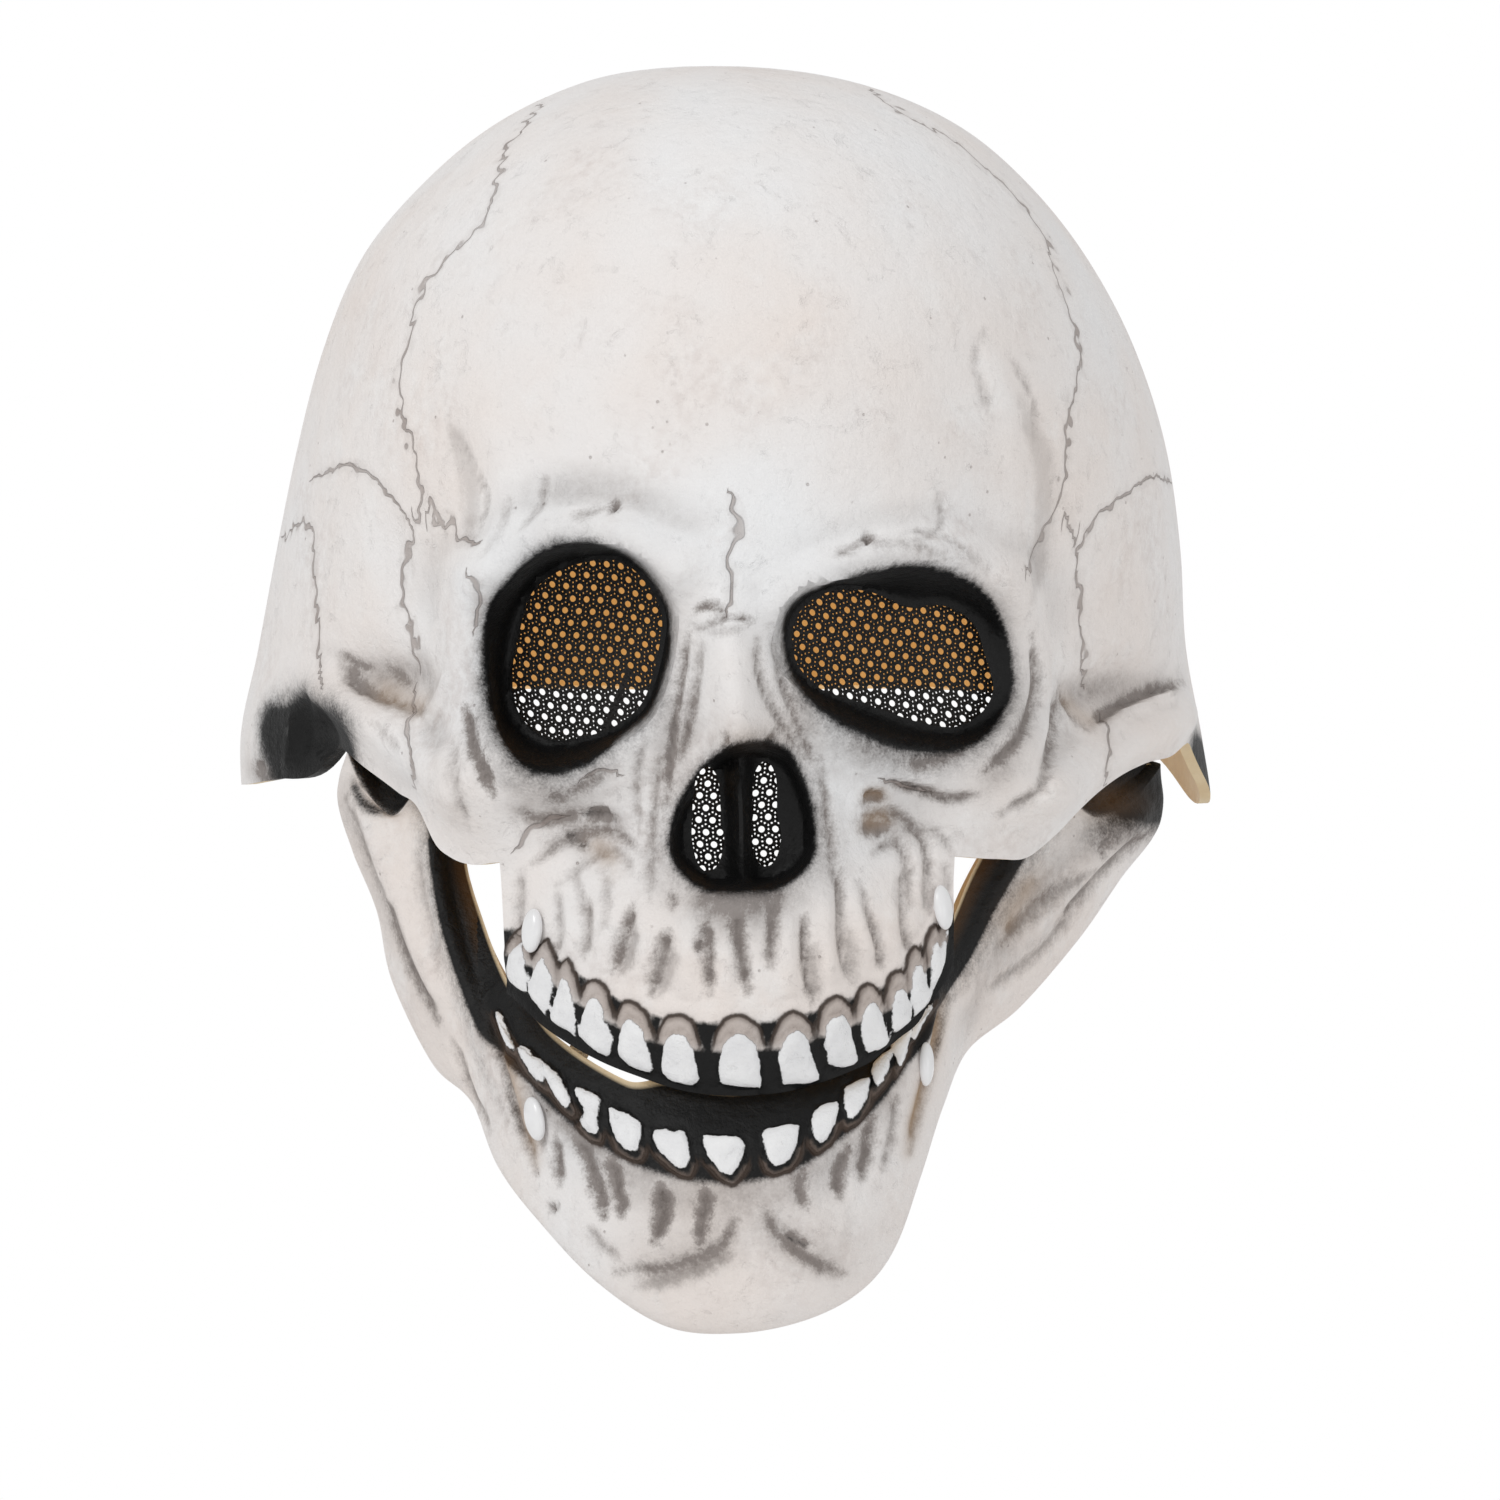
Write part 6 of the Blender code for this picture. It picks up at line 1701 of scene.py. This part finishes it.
class MaskNet(bpy.types.PropertyGroup):
    """Sizes of the knit net."""

    cell: bpy.props.FloatProperty(
        name="Hole spacing", description="Distance between holes along a row", unit="LENGTH", default=0.0028)
    row: bpy.props.FloatProperty(
        name="Row spacing", description="Distance between rows of one phase", unit="LENGTH", default=0.0049)
    hole: bpy.props.FloatProperty(
        name="Hole radius", description="Radius of a hole", unit="LENGTH", default=0.00066)
    thick: bpy.props.FloatProperty(
        name="Cloth thickness", description="Thickness of the net", unit="LENGTH", default=0.0003)


class MaskStage(bpy.types.PropertyGroup):
    """Room, lights and camera."""

    distance: bpy.props.FloatProperty(
        name="Camera distance", description="From the lens to the middle of the face", unit="LENGTH",
        default=8.0)
    frame_width: bpy.props.FloatProperty(
        name="Frame width", description="Width that the picture shows at the face", unit="LENGTH",
        default=0.30375)
    floor_drop: bpy.props.FloatProperty(
        name="Floor drop", description="Height of the chin over the floor", unit="LENGTH", default=0.12)
    key: bpy.props.FloatProperty(
        name="Key light", description="Power of the large soft light", subtype="POWER", default=13.0)
    fill: bpy.props.FloatProperty(
        name="Room light", description="Strength of the even light of the room", min=0, default=0.6)


class MASK_OT_skull(bpy.types.Operator):
    """Build the painted skull casting"""

    bl_idname = "mask.skull"
    bl_label = "Skull"

    def execute(self, context):
        paint = context.scene.mask_paint
        skin = paint_finish("skull_paint", paint.bone_cool, paint.bone_warm, paint.wash, paint.black)
        lining = lining_finish("skull_lining", paint.glow)
        obj = shell("skull", *build_skull(paint.columns_step), (skin, lining))
        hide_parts("skull_shell")
        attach(obj, "root")
        return {"FINISHED"}


class MASK_OT_jaw(bpy.types.Operator):
    """Build the painted jaw casting"""

    bl_idname = "mask.jaw"
    bl_label = "Jaw"

    def execute(self, context):
        paint = context.scene.mask_paint
        skin = paint_finish("jaw_paint", paint.bone_cool, paint.bone_warm, paint.wash, paint.black)
        lining = lining_finish("jaw_lining", paint.glow * 0.3)
        obj = shell("jaw", *build_jaw(paint.columns_step), (skin, lining))
        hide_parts("jaw_shell")
        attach(obj, "root")
        return {"FINISHED"}


class MASK_OT_nets(bpy.types.Operator):
    """Build the knit nets behind the eye and nose holes"""

    bl_idname = "mask.nets"
    bl_label = "Nets"

    def execute(self, context):
        net = context.scene.mask_net
        finish = net_finish("net_knit")
        sizes = [v / MM for v in (net.cell, net.row, net.hole, net.thick)]
        panels = [("eye_net_left", SOCKETS[0], 2.6, 0.9, 0.14), ("eye_net_right", SOCKETS[1], 2.6, 0.9, 0.2),
                  ("nose_net", NOSE, 3.0, 1.4, 0.0)]
        for node, opening, grow, lift, slant in panels:
            points, faces, area, flat = build_net(opening, grow, lift, slant, *sizes)
            obj = new_mesh(node.replace("net", "knit"), points, faces, None, 50)
            obj.data.materials.append(finish)
            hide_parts(node)
            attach(obj, "root")
        return {"FINISHED"}


class MASK_OT_fasteners(bpy.types.Operator):
    """Build the snap studs and the elastic bands that they hold"""

    bl_idname = "mask.fasteners"
    bl_label = "Studs and bands"

    def execute(self, context):
        seats = stud_seats()
        plastic = stud_finish("stud_plastic", (0.86, 0.86, 0.865))
        braid = elastic_finish("elastic_braid")
        for i, (stud, (seat, normal)) in enumerate(zip(STUDS, seats)):
            wall = SKULL_WALL if i < 2 else JAW_WALL
            obj = new_mesh(stud.name.replace("stud", "snap"), *build_stud(stud, seat, normal, wall), None, 60)
            obj.data.materials.append(plastic)
            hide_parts(stud.name)
            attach(obj, "root")
        for side, upper, lower in (("left", 0, 2), ("right", 1, 3)):
            obj = new_mesh("band_" + side, *build_strap(seats[upper], seats[lower]), None, 60)
            obj.data.materials.append(braid)
            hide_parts("jaw_strap_" + side)
            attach(obj, "root")
        return {"FINISHED"}


class MASK_OT_stage(bpy.types.Operator):
    """Build the floor, the lights, the room and the camera"""

    bl_idname = "mask.stage"
    bl_label = "Stage"

    def execute(self, context):
        scene = context.scene
        stage = scene.mask_stage
        low = CAD_BOX[0]
        z = (low[2] - stage.floor_drop) / MM
        sides = 96
        turn = np.arange(sides) * 2 * math.pi / sides
        rings = [np.stack([np.cos(turn) * r, np.sin(turn) * r, np.zeros(sides)], axis=1)
                 for r in (500, 1500, 4000, 12000, 40000, 120000)]
        points = np.vstack([[(0, 0, 0)]] + rings)
        pairs = [(i, (i + 1) % sides) for i in range(sides)]
        faces = [(0, 1 + i, 1 + j) for i, j in pairs]
        for first in range(1, 1 + (len(rings) - 1) * sides, sides):
            faces += [(first + i, first + sides + i, first + sides + j, first + j) for i, j in pairs]
        floor = new_mesh("floor", points, faces)
        floor.location = (0, 0, z * MM)
        floor.data.materials.append(floor_finish("floor_pale", (0.92, 0.92, 0.92), 2.2))

        world = bpy.data.worlds.new("room")
        world.use_nodes = True
        tree = world.node_tree
        back = tree.nodes["Background"]
        back.inputs["Color"].default_value = (1, 1, 1, 1)
        path = tree.nodes.new("ShaderNodeLightPath")
        power = tree.nodes.new("ShaderNodeMapRange")
        tree.links.new(path.outputs["Is Camera Ray"], power.inputs[0])
        power.inputs[3].default_value = stage.fill
        power.inputs[4].default_value = 1.0
        tree.links.new(power.outputs[0], back.inputs["Strength"])
        scene.world = world

        for name, place, size, share in LIGHTS:
            data = bpy.data.lights.new(name, "AREA")
            data.shape = "DISK"
            data.size = size
            data.energy = stage.key * share
            light = bpy.data.objects.new(name, data)
            scene.collection.objects.link(light)
            light.location = place
            aim = np.array(FACE_MIDDLE) - np.array(place)
            light.rotation_euler = (math.acos(-aim[2] / np.linalg.norm(aim)), 0,
                                    math.atan2(-aim[0], aim[1]))

        data = bpy.data.cameras.new("camera")
        camera = bpy.data.objects.new("camera", data)
        scene.collection.objects.link(camera)
        camera.location = (CAMERA_X, CAMERA_FRONT - stage.distance, CAMERA_Z)
        camera.rotation_euler = (math.pi / 2, 0, 0)
        data.sensor_width = 36
        data.lens = 36 * stage.distance / stage.frame_width
        data.clip_start = 0.1
        data.clip_end = 400
        scene.camera = camera
        scene.view_settings.view_transform = "Standard"
        return {"FINISHED"}


class MASK_PT_sidebar(bpy.types.Panel):
    """List the mask's settings and its building steps"""

    bl_idname = "MASK_PT_sidebar"
    bl_label = "Skull mask"
    bl_space_type = "VIEW_3D"
    bl_region_type = "UI"
    bl_category = "Mask"

    def draw(self, context):
        layout = self.layout
        scene = context.scene
        for group in (scene.mask_paint, scene.mask_net, scene.mask_stage):
            box = layout.box()
            for key in group.__annotations__:
                box.prop(group, key)
        for step_class in STEPS:
            layout.operator(step_class.bl_idname)


GROUPS = [MaskPaint, MaskNet, MaskStage]
STEPS = [MASK_OT_stage, MASK_OT_skull, MASK_OT_jaw, MASK_OT_nets, MASK_OT_fasteners]


def register():
    for item in GROUPS + STEPS + [MASK_PT_sidebar]:
        bpy.utils.register_class(item)
    bpy.types.Scene.mask_paint = bpy.props.PointerProperty(type=MaskPaint)
    bpy.types.Scene.mask_net = bpy.props.PointerProperty(type=MaskNet)
    bpy.types.Scene.mask_stage = bpy.props.PointerProperty(type=MaskStage)


def unregister():
    for name in ("mask_stage", "mask_net", "mask_paint"):
        delattr(bpy.types.Scene, name)
    for item in reversed(GROUPS + STEPS + [MASK_PT_sidebar]):
        bpy.utils.unregister_class(item)


def main():
    register()
    bpy.ops.mask.stage()
    bpy.ops.mask.skull()
    bpy.ops.mask.jaw()
    bpy.ops.mask.nets()
    bpy.ops.mask.fasteners()
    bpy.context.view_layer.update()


if __name__ == "__main__":
    main()
